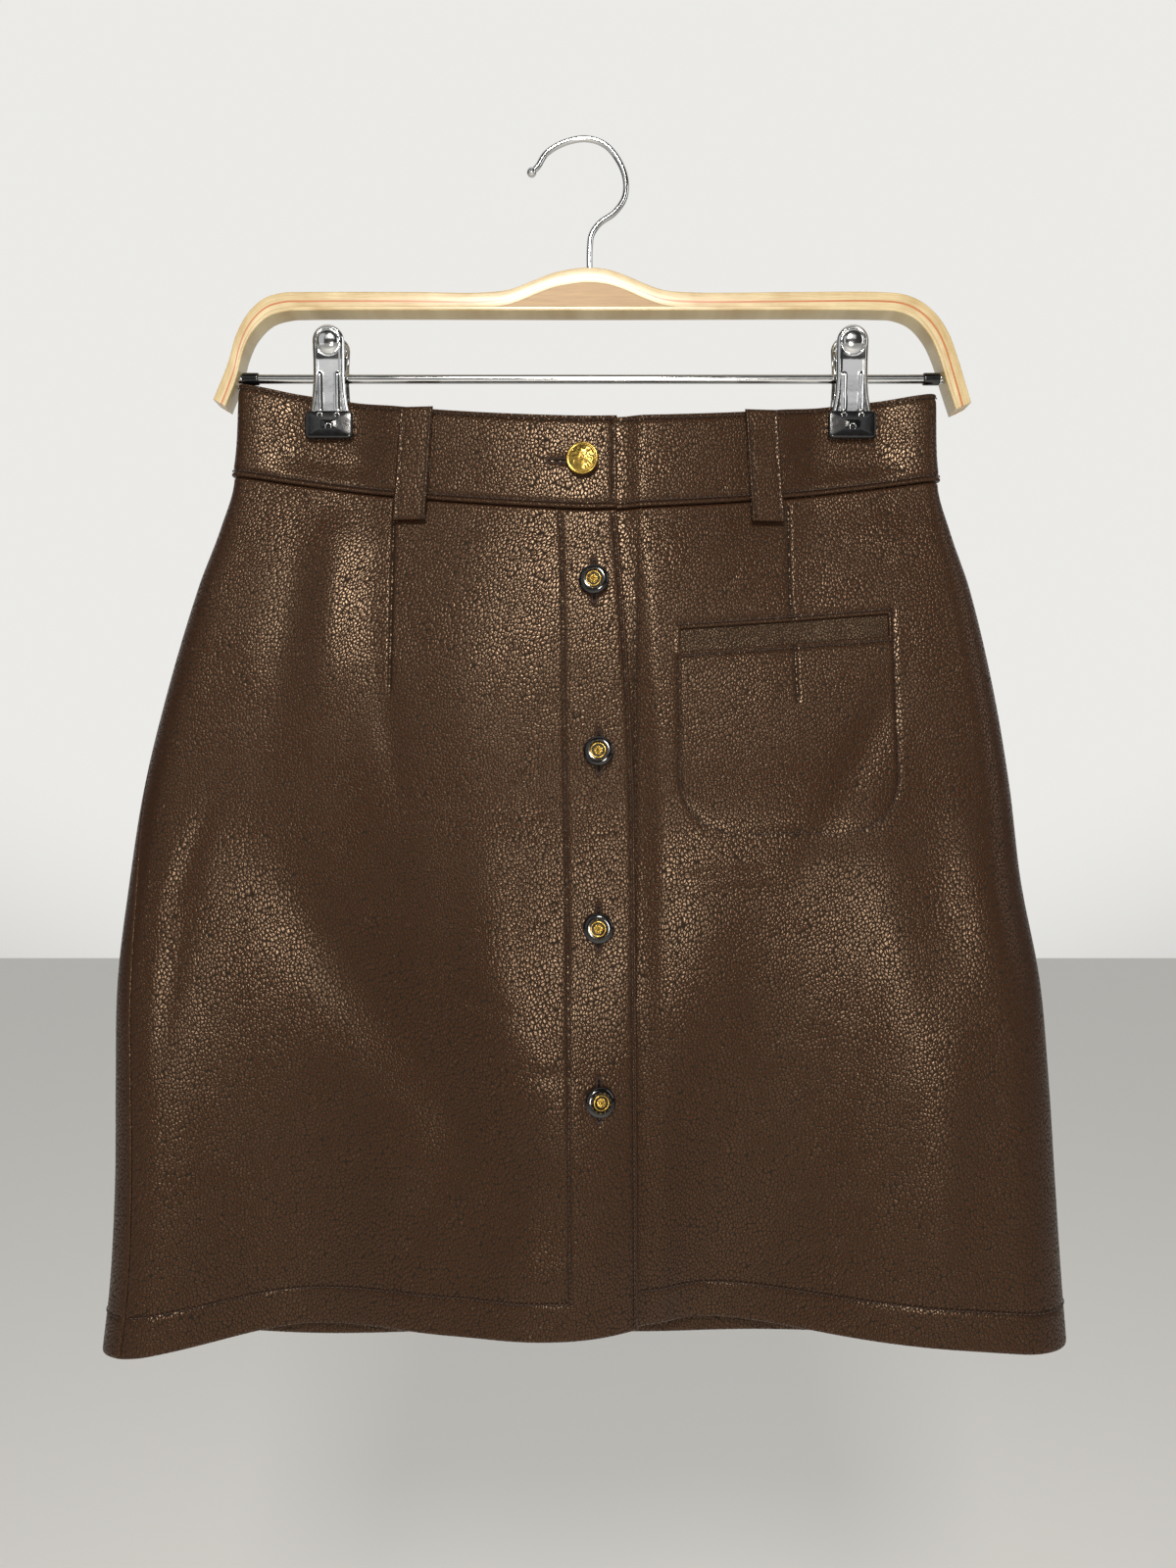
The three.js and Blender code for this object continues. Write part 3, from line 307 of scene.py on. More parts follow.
def make_leather(name, pebble_mm, groove, body, edge_dye, rough, grain_mm):
    """Pebbled leather on the piece's UV map, which is in metres along the hide. A pebble is a dome,
    one less the square of the distance to its middle, with a finer set over it, and falls away to
    the groove that runs where two pebbles meet."""
    material, tree = new_material(name)
    uv = add_node(tree, "ShaderNodeUVMap", uv_map="cut").outputs["UV"]
    drift = add_node(tree, "ShaderNodeTexNoise", {"Vector": uv, "Scale": 55.0, "Detail": 4.0})
    bend = add_node(
        tree,
        "ShaderNodeVectorMath",
        {0: drift.outputs["Color"], 1: (0.5, 0.5, 0.5)},
        operation="SUBTRACT",
    )
    moved = add_node(
        tree,
        "ShaderNodeVectorMath",
        {0: bend.outputs["Vector"], 1: GRAIN_DRIFT, 2: uv},
        operation="MULTIPLY_ADD",
    ).outputs["Vector"]
    # The hide stretched as it hung, so the pebbles are longer down the skirt than across it.
    stretched = add_node(
        tree,
        "ShaderNodeMapping",
        {"Vector": moved, "Scale": PEBBLE_STRETCH, "Rotation": (0, 0, PEBBLE_LEAN)},
    ).outputs["Vector"]
    domes = []
    for share in (1.0, 0.45):
        away = add_node(
            tree,
            "ShaderNodeTexVoronoi",
            {"Vector": stretched, "Scale": 1000 / pebble_mm / share, "Randomness": 0.95},
            voronoi_dimensions="2D",
        ).outputs["Distance"]
        square = add_node(tree, "ShaderNodeMath", {0: away, 1: away}, operation="MULTIPLY").outputs["Value"]
        domes.append(
            add_node(
                tree, "ShaderNodeMath", {0: square, 1: DOME_FALL, 2: 1.0}, operation="MULTIPLY_ADD"
            ).outputs["Value"]
        )
    # Patches of finer and coarser grain, as a hide has from its back to its belly.
    patches = add_node(
        tree, "ShaderNodeTexNoise", {"Vector": uv, "Scale": 24.0, "Detail": 2.0}, noise_dimensions="2D"
    ).outputs["Fac"]
    depth = add_node(
        tree, "ShaderNodeMapRange", {"Value": patches, "From Min": 0.35, "From Max": 0.65, "To Min": 0.6}
    ).outputs["Result"]
    coarse = add_node(
        tree, "ShaderNodeMath", {0: domes[0], 1: depth}, operation="MULTIPLY"
    ).outputs["Value"]
    both = add_node(
        tree, "ShaderNodeMath", {0: domes[1], 1: 0.28, 2: coarse}, operation="MULTIPLY_ADD"
    ).outputs["Value"]
    crown = add_node(
        tree, "ShaderNodeMath", {0: both, 1: 0.5, 2: 0.5}, operation="MULTIPLY_ADD"
    ).outputs["Value"]
    to_groove = add_node(
        tree,
        "ShaderNodeTexVoronoi",
        {"Vector": stretched, "Scale": 1000 / pebble_mm, "Randomness": 0.95},
        voronoi_dimensions="2D",
        feature="DISTANCE_TO_EDGE",
    ).outputs["Distance"]
    flank = add_node(
        tree,
        "ShaderNodeMapRange",
        {"Value": to_groove, "From Min": 0.0, "From Max": 0.2},
        interpolation_type="SMOOTHSTEP",
    ).outputs["Result"]
    relief = add_node(tree, "ShaderNodeMath", {0: crown, 1: flank}, operation="MULTIPLY").outputs["Value"]
    bump = add_node(
        tree, "ShaderNodeBump", {"Height": relief, "Strength": 1.0, "Distance": grain_mm / 1000}
    ).outputs["Normal"]
    top = add_node(
        tree,
        "ShaderNodeMapRange",
        {"Value": relief, "From Min": 0.12, "From Max": 0.92},
        interpolation_type="SMOOTHSTEP",
    ).outputs["Result"]
    # Painted shade: the relief's low parts, the valleys between pebbles, take the nearly black groove
    # colour.
    tone = add_node(
        tree,
        "ShaderNodeMix",
        {"Factor": top, FIRST: linear(groove), SECOND: linear(body)},
        data_type="RGBA",
    ).outputs[MIXED]
    worn = add_node(tree, "ShaderNodeAttribute", attribute_name="edge").outputs["Fac"]
    dyed = add_node(
        tree, "ShaderNodeMix", {"Factor": worn, FIRST: tone, SECOND: linear(edge_dye)}, data_type="RGBA"
    ).outputs[MIXED]
    # Painted shade: the 'seam' attribute darkens the colour along sunk seam lines, grooves and loop edges.
    painted_seam_shade = add_node(tree, "ShaderNodeAttribute", attribute_name="seam").outputs["Fac"]
    darker = add_node(
        tree, "ShaderNodeMix", {"Factor": painted_seam_shade, FIRST: dyed, SECOND: linear(groove)}, data_type="RGBA"
    ).outputs[MIXED]
    gloss = add_node(
        tree, "ShaderNodeMapRange", {"Value": top, "To Min": GROOVE_ROUGHNESS, "To Max": rough}
    ).outputs["Result"]
    finish_material(
        tree,
        **{
            "Base Color": darker,
            "Roughness": gloss,
            "IOR": 1.5,
            "Specular Tint": linear(WAX_TINT),
            "Normal": bump,
        },
    )
    return material


pebbled = make_leather("tumbled_cowhide", 1.75, "#070302", "#341b0d", "#2a160b", 0.2, 0.125)
# The pocket bag's leather: its darker body colour is partly the leather's own and partly painted shade in
# the recessed opening.
fine_leather = make_leather("smooth_cowhide", 1.3, "#070302", "#28150a", "#2a160b", 0.22, 0.1)

LEATHER, TURNED_EDGE, BAND_PROUD, BAND_THICKNESS, SEAM_GAP = 1.3, 2.5, 1.2, 2.6, 0.4
SEAM_LENGTH, HEM_TURN_UP = 411, 19
HEM_LEVEL, PANEL_TOP = 1 - HEM_TURN_UP / SEAM_LENGTH, SEAM_GAP / SEAM_LENGTH
EDGE_DYE_REACH, EDGE_DYE_SHARE, SEAM_SHADE, ROLL_KEEP = 2.0, 0.55, 0.9, 0.94
# Seam lines that sink and turned edges that stand up: a depth, negative for a lip, and a width.
DART_GROOVE, HEM_GROOVE, ROW_GROOVE, SLIT_GROOVE = (1.1, 0.8), (0.45, 1.2), (0.6, 1.1), (1.5, 0.75)


def put_mesh(name, points, faces, material, slot, uv=None, edge=None, seam=None):
    """A mesh object from points in millimetres and faces by point number, smooth all over."""
    mesh = bpy.data.meshes.new(name)
    mesh.from_pydata((np.asarray(points) * 0.001).tolist(), [], [list(f) for f in faces])
    mesh.polygons.foreach_set("use_smooth", np.ones(len(mesh.polygons), bool))
    corner = np.empty(len(mesh.loops), np.int32)
    mesh.loops.foreach_get("vertex_index", corner)
    if uv is not None:
        layer = mesh.uv_layers.new(name="cut")
        layer.data.foreach_set("uv", (np.asarray(uv)[corner] * 0.001).ravel())
    # 'edge' carries the edge dye, and 'seam' carries painted shade along sunk grooves.
    for layer_name, values in (("edge", edge), ("seam", seam)):
        if values is not None:
            layer = mesh.attributes.new(layer_name, "FLOAT", "POINT")
            layer.data.foreach_set("value", np.asarray(values, float))
    mesh.materials.append(material)
    mesh.update()
    made = bpy.data.objects.new(name, mesh)
    bpy.context.collection.objects.link(made)
    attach(made, "root")
    return made


def grid_faces(rows, columns, start=0, wrap=False, flip=False):
    """The faces of a grid of points, row by row, joined round in each row where it wraps."""
    i, j = np.meshgrid(np.arange(rows - 1), np.arange(columns if wrap else columns - 1), indexing="ij")
    a, b = start + i * columns + j, start + i * columns + (j + 1) % columns
    quads = np.stack([a, a + columns, b + columns, b], -1).reshape(-1, 4)
    return quads[:, ::-1] if flip else quads


def end_faces(rows, columns):
    """The two faces that close a wrapped grid at its first and its last row."""
    return [list(range(columns))[::-1], list(range((rows - 1) * columns, rows * columns))]


def lengths_along(points, axis):
    """How far each point of a grid is along its row or column, from the first one."""
    steps = np.linalg.norm(np.diff(points, axis=axis), axis=-1)
    pad = np.zeros_like(np.take(steps, [0], axis=axis))
    return np.cumsum(np.concatenate([pad, steps], axis=axis), axis=axis)


def rolled(distance, thickness):
    """How far a face leans in near an edge, so that inner and outer face meet in a half circle."""
    radius = thickness / 2
    short = np.clip(radius - distance, 0, radius)
    return ROLL_KEEP * (radius - np.sqrt(radius**2 - short**2))


def leather_wall(name, way, level, inset, thickness, grooves=(), hole=None, material=None, slot="leather"):
    """A wall of leather: the skirt's surface over a grid of ways and levels and the same surface
    moved in by the thickness, joined round the rim and round the hole, with rolled edges. A groove
    is sunk in the outer face by its depth times a bell of the distance to a line of points, and a
    negative depth raises a lip."""
    rows, columns = way.shape
    base = skirt(way, level, inset)
    across, down = lengths_along(base, 1), lengths_along(base, 0)
    to_edge = np.minimum.reduce([across, across[:, -1:] - across, down, down[-1:] - down])
    keep = np.ones((rows - 1, columns - 1), bool)
    if hole is not None:
        top, bottom, left, right = hole
        keep[top:bottom, left:right] = False
        i, j = np.meshgrid(np.arange(rows), np.arange(columns), indexing="ij")
        beside = np.maximum(across[:, left : left + 1] - across, across - across[:, right : right + 1])
        above = np.maximum(down[top : top + 1] - down, down - down[bottom : bottom + 1])
        gap = np.hypot(np.clip(beside, 0, None), np.clip(above, 0, None))
        inside = (i > top) & (i < bottom) & (j > left) & (j < right)
        to_edge = np.minimum(to_edge, np.where(inside, 0, gap))
    lean = rolled(to_edge, thickness)
    sink, shade = np.zeros_like(lean), np.zeros_like(lean)
    for line, depth, width in grooves:
        flat = base.reshape(-1, 3)
        near = np.full(len(flat), 99.0)
        low, high = line.min(0) - 4 * width, line.max(0) + 4 * width
        close = np.flatnonzero(((flat > low) & (flat < high)).all(1))
        for part in np.array_split(close, max(1, len(close) * len(line) // 4_000_000 + 1)):
            gaps = np.linalg.norm(flat[part, None] - line[None], axis=-1)
            near[part] = gaps.min(1)
        near = near.reshape(rows, columns)
        sink = sink + depth * np.exp(-((near / width) ** 2))
        # Painted shade along each sunk groove, kept in the mesh's 'seam' attribute.
        if depth > 0:
            shade = np.maximum(shade, min(depth, 1.0) * np.exp(-((near / (SEAM_SHADE * width)) ** 2)))
    outer = skirt(way, level, inset + lean + sink)
    inner = skirt(way, level, inset + thickness - lean)
    used = np.zeros((rows, columns), bool)
    used[:-1, :-1] |= keep
    used[1:, :-1] |= keep
    used[:-1, 1:] |= keep
    used[1:, 1:] |= keep
    number = np.cumsum(used.ravel()).reshape(rows, columns) - 1
    layer = int(used.sum())
    cell = np.argwhere(keep)
    a, b = number[cell[:, 0], cell[:, 1]], number[cell[:, 0], cell[:, 1] + 1]
    d, c = number[cell[:, 0] + 1, cell[:, 1]], number[cell[:, 0] + 1, cell[:, 1] + 1]
    outer_faces = np.stack([a, d, c, b], -1)
    inner_faces = outer_faces[:, ::-1] + layer
    padded = np.pad(keep, 1)
    rims = []
    for axis, side in ((0, -1), (0, 1), (1, -1), (1, 1)):
        beyond = np.roll(padded, -side, axis)[1:-1, 1:-1]
        i, j = np.nonzero(keep & ~beyond)
        if axis == 0:
            p, q = number[i + (side > 0), j], number[i + (side > 0), j + 1]
            p, q = (q, p) if side > 0 else (p, q)
        else:
            p, q = number[i, j + (side > 0)], number[i + 1, j + (side > 0)]
            p, q = (p, q) if side > 0 else (q, p)
        rims.append(np.stack([p, q, q + layer, p + layer], -1))
    points = np.concatenate([outer[used], inner[used]])
    uv = np.stack([across, -down], -1)[used]
    dye = np.exp(-to_edge / EDGE_DYE_REACH)[used] * EDGE_DYE_SHARE
    shade = shade[used]
    faces = np.concatenate([outer_faces, inner_faces, *rims])
    return put_mesh(
        name,
        points,
        faces,
        material or pebbled,
        slot,
        np.concatenate([uv, uv]),
        np.concatenate([dye, dye]),
        np.concatenate([shade, shade]),
    )


def steps_between(count, pull):
    """Shares from 0 to nearly 1, drawn together near both ends by a half cosine."""
    u = np.arange(count) / count
    return (1 - pull) * u + pull * (0.5 - 0.5 * np.cos(np.pi * u))


def grid_through(way_lines, way_counts, level_lines, level_counts, pull=0.7):
    """A grid that passes through given lines: each way line is a way for a level, and each level
    line a level for an X. The two are worked out in turn until they agree."""
    across = [(k, t) for k, n in enumerate(way_counts) for t in steps_between(n, pull)]
    down = [(k, t) for k, n in enumerate(level_counts) for t in steps_between(n, pull)]
    across.append((len(way_counts) - 1, 1.0))
    down.append((len(level_counts) - 1, 1.0))
    (k, t), (m, s) = np.array(across).T, np.array(down).T
    k, m, s = k.astype(int), m.astype(int)[:, None], s[:, None]
    level = np.tile(np.linspace(0, 1, len(down))[:, None], (1, len(across)))
    for _ in range(4):
        lines = np.stack([f(level) for f in way_lines])
        column = np.arange(len(across))[None]
        row = np.arange(len(down))[:, None]
        way = lines[k[None], row, column] * (1 - t) + lines[k[None] + 1, row, column] * t
        x = skirt(way, level)[..., 0]
        lines = np.stack([np.broadcast_to(f(x), x.shape) for f in level_lines])
        level = lines[m, row, column] * (1 - s) + lines[m + 1, row, column] * s
    return way, level


# Linen-finished polyester thread in the leather's own brown, about 0.6 mm thick, sewn by machine
# at ten or eleven stitches to the inch. Each stitch pulls down into the leather at both ends.
thread, tree = new_material("sewing_thread")
twist = add_node(
    tree,
    "ShaderNodeTexWave",
    {"Vector": add_node(tree, "ShaderNodeTexCoord").outputs["Object"], "Scale": 900.0, "Distortion": 1.0},
)
finish_material(
    tree,
    **{
        "Base Color": linear("#2e1b11"),
        "Roughness": 0.5,
        "Normal": add_node(
            tree, "ShaderNodeBump", {"Height": twist.outputs["Fac"], "Strength": 0.4, "Distance": 0.00006}
        ).outputs["Normal"],
    },
)
STITCH_PITCH, STITCH_LENGTH, THREAD_RADIUS = 2.45, 1.7, 0.38


def resample(points, pitch):
    """Points at even steps along a line, and the share of the line where each lies."""
    run = np.concatenate([[0], np.cumsum(np.linalg.norm(np.diff(points, axis=0), axis=1))])
    at = np.arange(pitch / 2, run[-1], pitch)
    return np.stack([np.interp(at, run, points[:, k]) for k in range(3)], -1), at, run


def joined(parts):
    """Several forms' points and faces as one."""
    points, faces, start = [], [], 0
    for some_points, some_faces in parts:
        points.append(some_points)
        faces += [[start + k for k in face] for face in some_faces]
        start += len(some_points)
    return np.concatenate(points), faces


def beads(centre, tangent, side, normal, along, length, arch, radius):
    """A bead of thread at each centre: rings across its tangent, lifted by the arch, six sided."""
    rings, sides = len(along), 6
    turn = np.arange(sides) / sides * 2 * math.pi
    middle = centre[:, None] + tangent[:, None] * (along * length / 2)[None, :, None]
    middle = middle + normal[:, None] * arch[None, :, None]
    out = side[:, None, None] * np.cos(turn)[None, None, :, None]
    out = out + normal[:, None, None] * np.sin(turn)[None, None, :, None]
    points = middle[:, :, None] + out * radius[None, :, None, None]
    each = grid_faces(rings, sides, wrap=True, flip=True)
    shift = np.arange(len(points))[:, None, None] * rings * sides
    faces = (each[None] + shift).reshape(-1, 4).tolist()
    for end, order in ((0, 1), (rings - 1, -1)):
        faces += ((np.arange(sides) + end * sides)[::order][None] + shift[:, 0]).tolist()
    return points.reshape(-1, 3), faces


def sew(name, rows):
    """Stitches along each row of points, where normals point out of the leather: each is a bead of
    thread whose radius follows a half ellipse and whose middle stands highest."""
    along = np.linspace(-1, 1, 5)
    fat = np.sqrt(np.clip(1.08 - along**2, 0.04, None))
    arch = 0.16 - 0.34 * along**2
    parts = []
    for points, normals in rows:
        centre, at, run = resample(points, STITCH_PITCH)
        normal = np.stack([np.interp(at, run, normals[:, k]) for k in range(3)], -1)
        ahead = np.stack([np.interp(at + 0.4, run, points[:, k]) for k in range(3)], -1)
        behind = np.stack([np.interp(at - 0.4, run, points[:, k]) for k in range(3)], -1)
        tangent = ahead - behind
        tangent /= np.linalg.norm(tangent, axis=1, keepdims=True)
        side = np.cross(normal, tangent)
        side /= np.linalg.norm(side, axis=1, keepdims=True)
        parts.append(beads(centre, tangent, side, normal, along, STITCH_LENGTH, arch, THREAD_RADIUS * fat))
    return put_mesh(name, *joined(parts), thread, "leather")


def seam_line(way, level, inset=0.0, count=260):
    """A line on the leather from ways and levels given at a few places, with its normals."""
    t, u = np.linspace(0, 1, count), np.linspace(0, 1, max(np.size(way), np.size(level)))
    way = np.interp(t, u, np.broadcast_to(way, u.shape))
    level = np.interp(t, u, np.broadcast_to(level, u.shape))
    return skirt(way, level, inset), outward(way, level, inset)


def upright_line(x_at, top, bottom, inset=0.0, count=260):
    """A line down the leather whose X is given by a function of the level."""
    level = np.linspace(top, bottom, count)
    way = way_at(x_at(level), level)
    return skirt(way, level, inset), outward(way, level, inset)


# The wearer's right front: one hide panel with a dart, whose front edge is turned back 33 mm to
# carry the buttonholes. It laps over the left front, and the hem is turned up 19 mm and sewn.
def overlap_edge(level):
    return np.interp(level, (0, 0.13, 0.245, 0.36, 1), (14.2, 18, 20.7, 22.5, 24.5))


def placket_seam(level):
    return np.interp(level, (0, 0.04, 0.14, 0.34, 0.51, 1), (-14.4, -12.9, -12, -11.1, -9.7, -8.5))


def right_seam_degrees(level):
    return 31 + 59 * (1 - smooth(0.1, 0.6, level))


def right_seam(level):
    return -(FLAT_SHARE + (1 - FLAT_SHARE) * right_seam_degrees(level) / 90)


def seam_step(level, degrees):
    """The way's step that leaves a seam gap at a side fold, where the surface bends."""
    angle = np.radians(degrees)
    run = np.hypot(section("round", level) * np.cos(angle), section("front", level) * np.sin(angle))
    return SEAM_GAP / run * (1 - FLAT_SHARE) * 2 / math.pi


def hem_wall(level):
    return np.where(level > HEM_LEVEL + 0.002, TURNED_EDGE, LEATHER)


BUTTONHOLES = ((3.0, -224.7), (5.2, -308.2), (5.0, -392.3), (5.3, -474.0))
BUTTONHOLE_HALF = 10.5
EDGE_SEAM_IN, EDGE_LIP = 1.9, (-0.45, 0.75)
DART_X, DART_END = -96.6, 0.235
button_levels = [float(level_at(x, z)) for x, z in BUTTONHOLES]


def buttonhole_line(level):
    return np.interp(level, button_levels, [x for x, _ in BUTTONHOLES])


way, level = grid_through(
    [
        lambda v: right_seam(v) + seam_step(v, right_seam_degrees(v)),
        lambda v: way_at(DART_X, v),
        lambda v: way_at(placket_seam(v), v),
        lambda v: way_at(buttonhole_line(v), v),
        lambda v: way_at(overlap_edge(v) - EDGE_SEAM_IN, v),
        lambda v: way_at(overlap_edge(v), v),
    ],
    (60, 44, 12, 13, 5),
    [lambda x: PANEL_TOP, lambda x: HEM_LEVEL, lambda x: 1.0],
    (176, 13),
)
dart = upright_line(lambda v: DART_X, 0.01, DART_END)[0]
placket_rows = [
    upright_line(lambda v: overlap_edge(v) - EDGE_SEAM_IN, 0.008, 0.992),
    upright_line(placket_seam, 0.008, HEM_LEVEL),
]
hem_start = float(right_seam(HEM_LEVEL)) + 0.012
right_hem = seam_line((hem_start, float(way_at(placket_seam(HEM_LEVEL), HEM_LEVEL))), HEM_LEVEL)
slits = []
for x, z in BUTTONHOLES:
    reach = np.linspace(-BUTTONHOLE_HALF, BUTTONHOLE_HALF, 40)
    slits.append((on_skirt(np.full(40, x), z + reach), *SLIT_GROOVE))
overlap_lip = upright_line(lambda v: overlap_edge(v) - 0.75, 0.004, 0.998)[0]
right_grooves = [(dart, *DART_GROOVE), (right_hem[0], *HEM_GROOVE), (overlap_lip, *EDGE_LIP)]
right_grooves += [(points, *ROW_GROOVE) for points, _ in placket_rows] + slits
in_placket = skirt(way, level)[..., 0] > overlap_edge(level) - 32
front_right = leather_wall(
    "front_right_panel_leather",
    way,
    level,
    0.0,
    np.where(in_placket, TURNED_EDGE, hem_wall(level)),
    right_grooves,
)
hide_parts("front_right_panel")
stitches_right = sew("front_right_panel_stitches", [*placket_rows, right_hem])

# The wearer's left front: a panel like the other, whose edge runs under the overlap and carries
# the buttons. A pocket opening is cut across its dart and bound by a turned and sewn edge.
OVERLAP_BACK, UNDERLAP_EDGE_X, LEFT_SEAM_WAY = 2.9, -11, 1.012
POCKET_LEFT, POCKET_RIGHT, POCKET_TOP_LEFT, POCKET_TOP_RIGHT, POCKET_SLIT = 45, 147.5, -248.2, -240, 11.3
BAG_LEFT, BAG_RIGHT, BAG_BOTTOM, BAG_CORNER, BAG_ABOVE = 41.8, 151.5, -351.5, 27, 6
POCKET_LIP_OFF, POCKET_LIP, ROW_LEFT, ROW_RIGHT, ROW_ABOVE = 0.8, (-0.4, 0.7), 44.2, 149.6, 2.2
POCKET_SLOPE = (POCKET_TOP_RIGHT - POCKET_TOP_LEFT) / (POCKET_RIGHT - POCKET_LEFT)


def pocket_top(x):
    return POCKET_TOP_LEFT + (x - POCKET_LEFT) * POCKET_SLOPE


def left_placket_seam(level):
    return np.interp(level, (0, 0.08, 0.245, 1), (24.3, 23.6, 23.0, 21))


def left_dart(level):
    return np.interp(level, (0, 0.12, 0.16, 0.25, 1), (99.8, 99.3, 100.9, 101.6, 105))


def under_overlap(x, level):
    return OVERLAP_BACK * (1 - smooth(overlap_edge(level) + 1, overlap_edge(level) + 15, x))


left_way_counts, left_level_counts = (16, 14, 34, 28, 42), (30, 8, 142, 13)
way, level = grid_through(
    [
        lambda v: way_at(UNDERLAP_EDGE_X, v),
        lambda v: way_at(left_placket_seam(v), v),
        lambda v: way_at(POCKET_LEFT, v),
        lambda v: way_at(left_dart(v), v),
        lambda v: way_at(POCKET_RIGHT, v),
        lambda v: LEFT_SEAM_WAY - seam_step(v, 90),
    ],
    left_way_counts,
    [
        lambda x: PANEL_TOP,
        lambda x: level_at(x, pocket_top(x)),
        lambda x: level_at(x, pocket_top(x) - POCKET_SLIT),
        lambda x: HEM_LEVEL,
        lambda x: 1.0,
    ],
    left_level_counts,
)
slit_hole = (
    left_level_counts[0],
    sum(left_level_counts[:2]),
    sum(left_way_counts[:2]),
    sum(left_way_counts[:4]),
)
dart_top = upright_line(left_dart, 0.01, float(level_at(99.3, pocket_top(99.3) + 1)))[0]
dart_low = upright_line(left_dart, float(level_at(101, pocket_top(101) - POCKET_SLIT - 1)), 0.245)[0]


def drawn_line(x, z, count=220):
    """A line on the front through given X and height values, with its normals."""
    x, z = np.asarray(x, float), np.asarray(z, float)
    run = np.concatenate([[0], np.cumsum(np.hypot(np.diff(x), np.diff(z)))])
    at = np.linspace(0, run[-1], count)
    x, z = np.interp(at, run, x), np.interp(at, run, z)
    level = level_at(x, z)
    way = way_at(x, level)
    return skirt(way, level, under_overlap(x, level)), outward(way, level)


corner = np.radians(np.linspace(0, 90, 8))
low_corner_z = BAG_BOTTOM + 4 + BAG_CORNER * (1 - np.sin(corner))
left_corner_x = ROW_LEFT + BAG_CORNER * (1 - np.cos(corner))
right_corner_x = ROW_RIGHT - BAG_CORNER * (1 - np.cos(corner))
pocket_u = drawn_line(
    [ROW_LEFT, *left_corner_x, *right_corner_x[::-1], ROW_RIGHT],
    [pocket_top(44) - POCKET_SLIT - 2, *low_corner_z, *low_corner_z[::-1], pocket_top(149) + ROW_ABOVE],
    420,
)
above_slit = drawn_line(
    [ROW_LEFT, ROW_RIGHT], [pocket_top(ROW_LEFT) + ROW_ABOVE, pocket_top(ROW_RIGHT) + ROW_ABOVE]
)
below_slit = drawn_line(
    [44.6, 149.4], [pocket_top(44.6) - POCKET_SLIT - 2.0, pocket_top(149.4) - POCKET_SLIT - 2.0]
)
left_placket_row = upright_line(left_placket_seam, 0.008, 0.6)
lifted = left_placket_row[0] + [0, 1, 0] * under_overlap(left_placket_row[0][:, :1], 0.2)
left_placket_row = (lifted, left_placket_row[1])
left_hem = seam_line((float(way_at(25.5, HEM_LEVEL)), LEFT_SEAM_WAY - 0.012), HEM_LEVEL)
left_hem = (left_hem[0] + [0, 1, 0] * under_overlap(left_hem[0][:, :1], HEM_LEVEL), left_hem[1])
left_rows = [pocket_u, above_slit, below_slit, left_placket_row, left_hem]
lip_x = [POCKET_LEFT - 1, POCKET_RIGHT + 1]
lip_z = pocket_top(np.array([POCKET_LEFT, POCKET_RIGHT]))
slit_lips = [
    drawn_line(lip_x, lip_z + POCKET_LIP_OFF),
    drawn_line(lip_x, lip_z - POCKET_SLIT - POCKET_LIP_OFF),
]
for x in (POCKET_LEFT - POCKET_LIP_OFF, POCKET_RIGHT + POCKET_LIP_OFF):
    slit_lips.append(drawn_line([x, x], [pocket_top(x), pocket_top(x) - POCKET_SLIT]))
left_grooves = [(dart_top, *DART_GROOVE), (dart_low, *DART_GROOVE)]
left_grooves += [(points, *ROW_GROOVE) for points, _ in left_rows]
left_grooves += [(points, *POCKET_LIP) for points, _ in slit_lips]
front_left = leather_wall(
    "front_left_panel_leather",
    way,
    level,
    under_overlap(skirt(way, level)[..., 0], level),
    hem_wall(level),
    left_grooves,
    slit_hole,
)
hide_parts("front_left_panel")
stitches_left = sew("front_left_panel_stitches", left_rows)

# The pocket's back layer, a piece of finer and darker leather that shows in the opening and is
# held by the stitches that run round it in a U. Its darker colour is partly painted shade for the
# recessed opening.
share = np.linspace(-1, 1, 41)
bag_half, bag_middle = (BAG_RIGHT - BAG_LEFT) / 2, (BAG_LEFT + BAG_RIGHT) / 2
bag_x = bag_middle + bag_half * np.sin(share * math.pi / 2)
near_side = np.clip(np.abs(bag_x - bag_middle) - (bag_half - BAG_CORNER), 0, None)
bag_low = BAG_BOTTOM + BAG_CORNER - np.sqrt(np.clip(BAG_CORNER**2 - near_side**2, 0, None))
bag_top = pocket_top(bag_x) + BAG_ABOVE
bag_z = bag_top + (bag_low - bag_top) * np.linspace(0, 1, 60)[:, None]
bag_x = np.broadcast_to(bag_x, bag_z.shape)
bag_level = level_at(bag_x, bag_z)
bag = leather_wall(
    "pocket_bag_leather",
    way_at(bag_x, bag_level),
    bag_level,
    LEATHER + SEAM_GAP,
    LEATHER,
    material=fine_leather,
    slot="smooth_leather",
)
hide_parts("pocket_bag")

# The back: a single panel from side seam to side seam, finished plainly, with a dart each side.
BACK_DART_X = 82
way, level = grid_through(
    [
        lambda v: LEFT_SEAM_WAY + seam_step(v, 90) * 0.2,
        lambda v: 2 - way_at(BACK_DART_X, v),
        lambda v: 2 - way_at(-BACK_DART_X, v),
        lambda v: 4 + right_seam(v) - seam_step(v, right_seam_degrees(v)) * 0.2,
    ],
    (44, 56, 54),
    [lambda x: PANEL_TOP, lambda x: HEM_LEVEL, lambda x: 1.0],
    (130, 10),
)
back_darts = []
for x in (-BACK_DART_X, BACK_DART_X):
    levels = np.linspace(0.01, 0.28, 120)
    back_darts.append((skirt(2 - way_at(x, levels), levels), *DART_GROOVE))
back_hem = seam_line((LEFT_SEAM_WAY + 0.02, 4 + float(right_seam(HEM_LEVEL)) - 0.01), HEM_LEVEL, 0.0, 520)
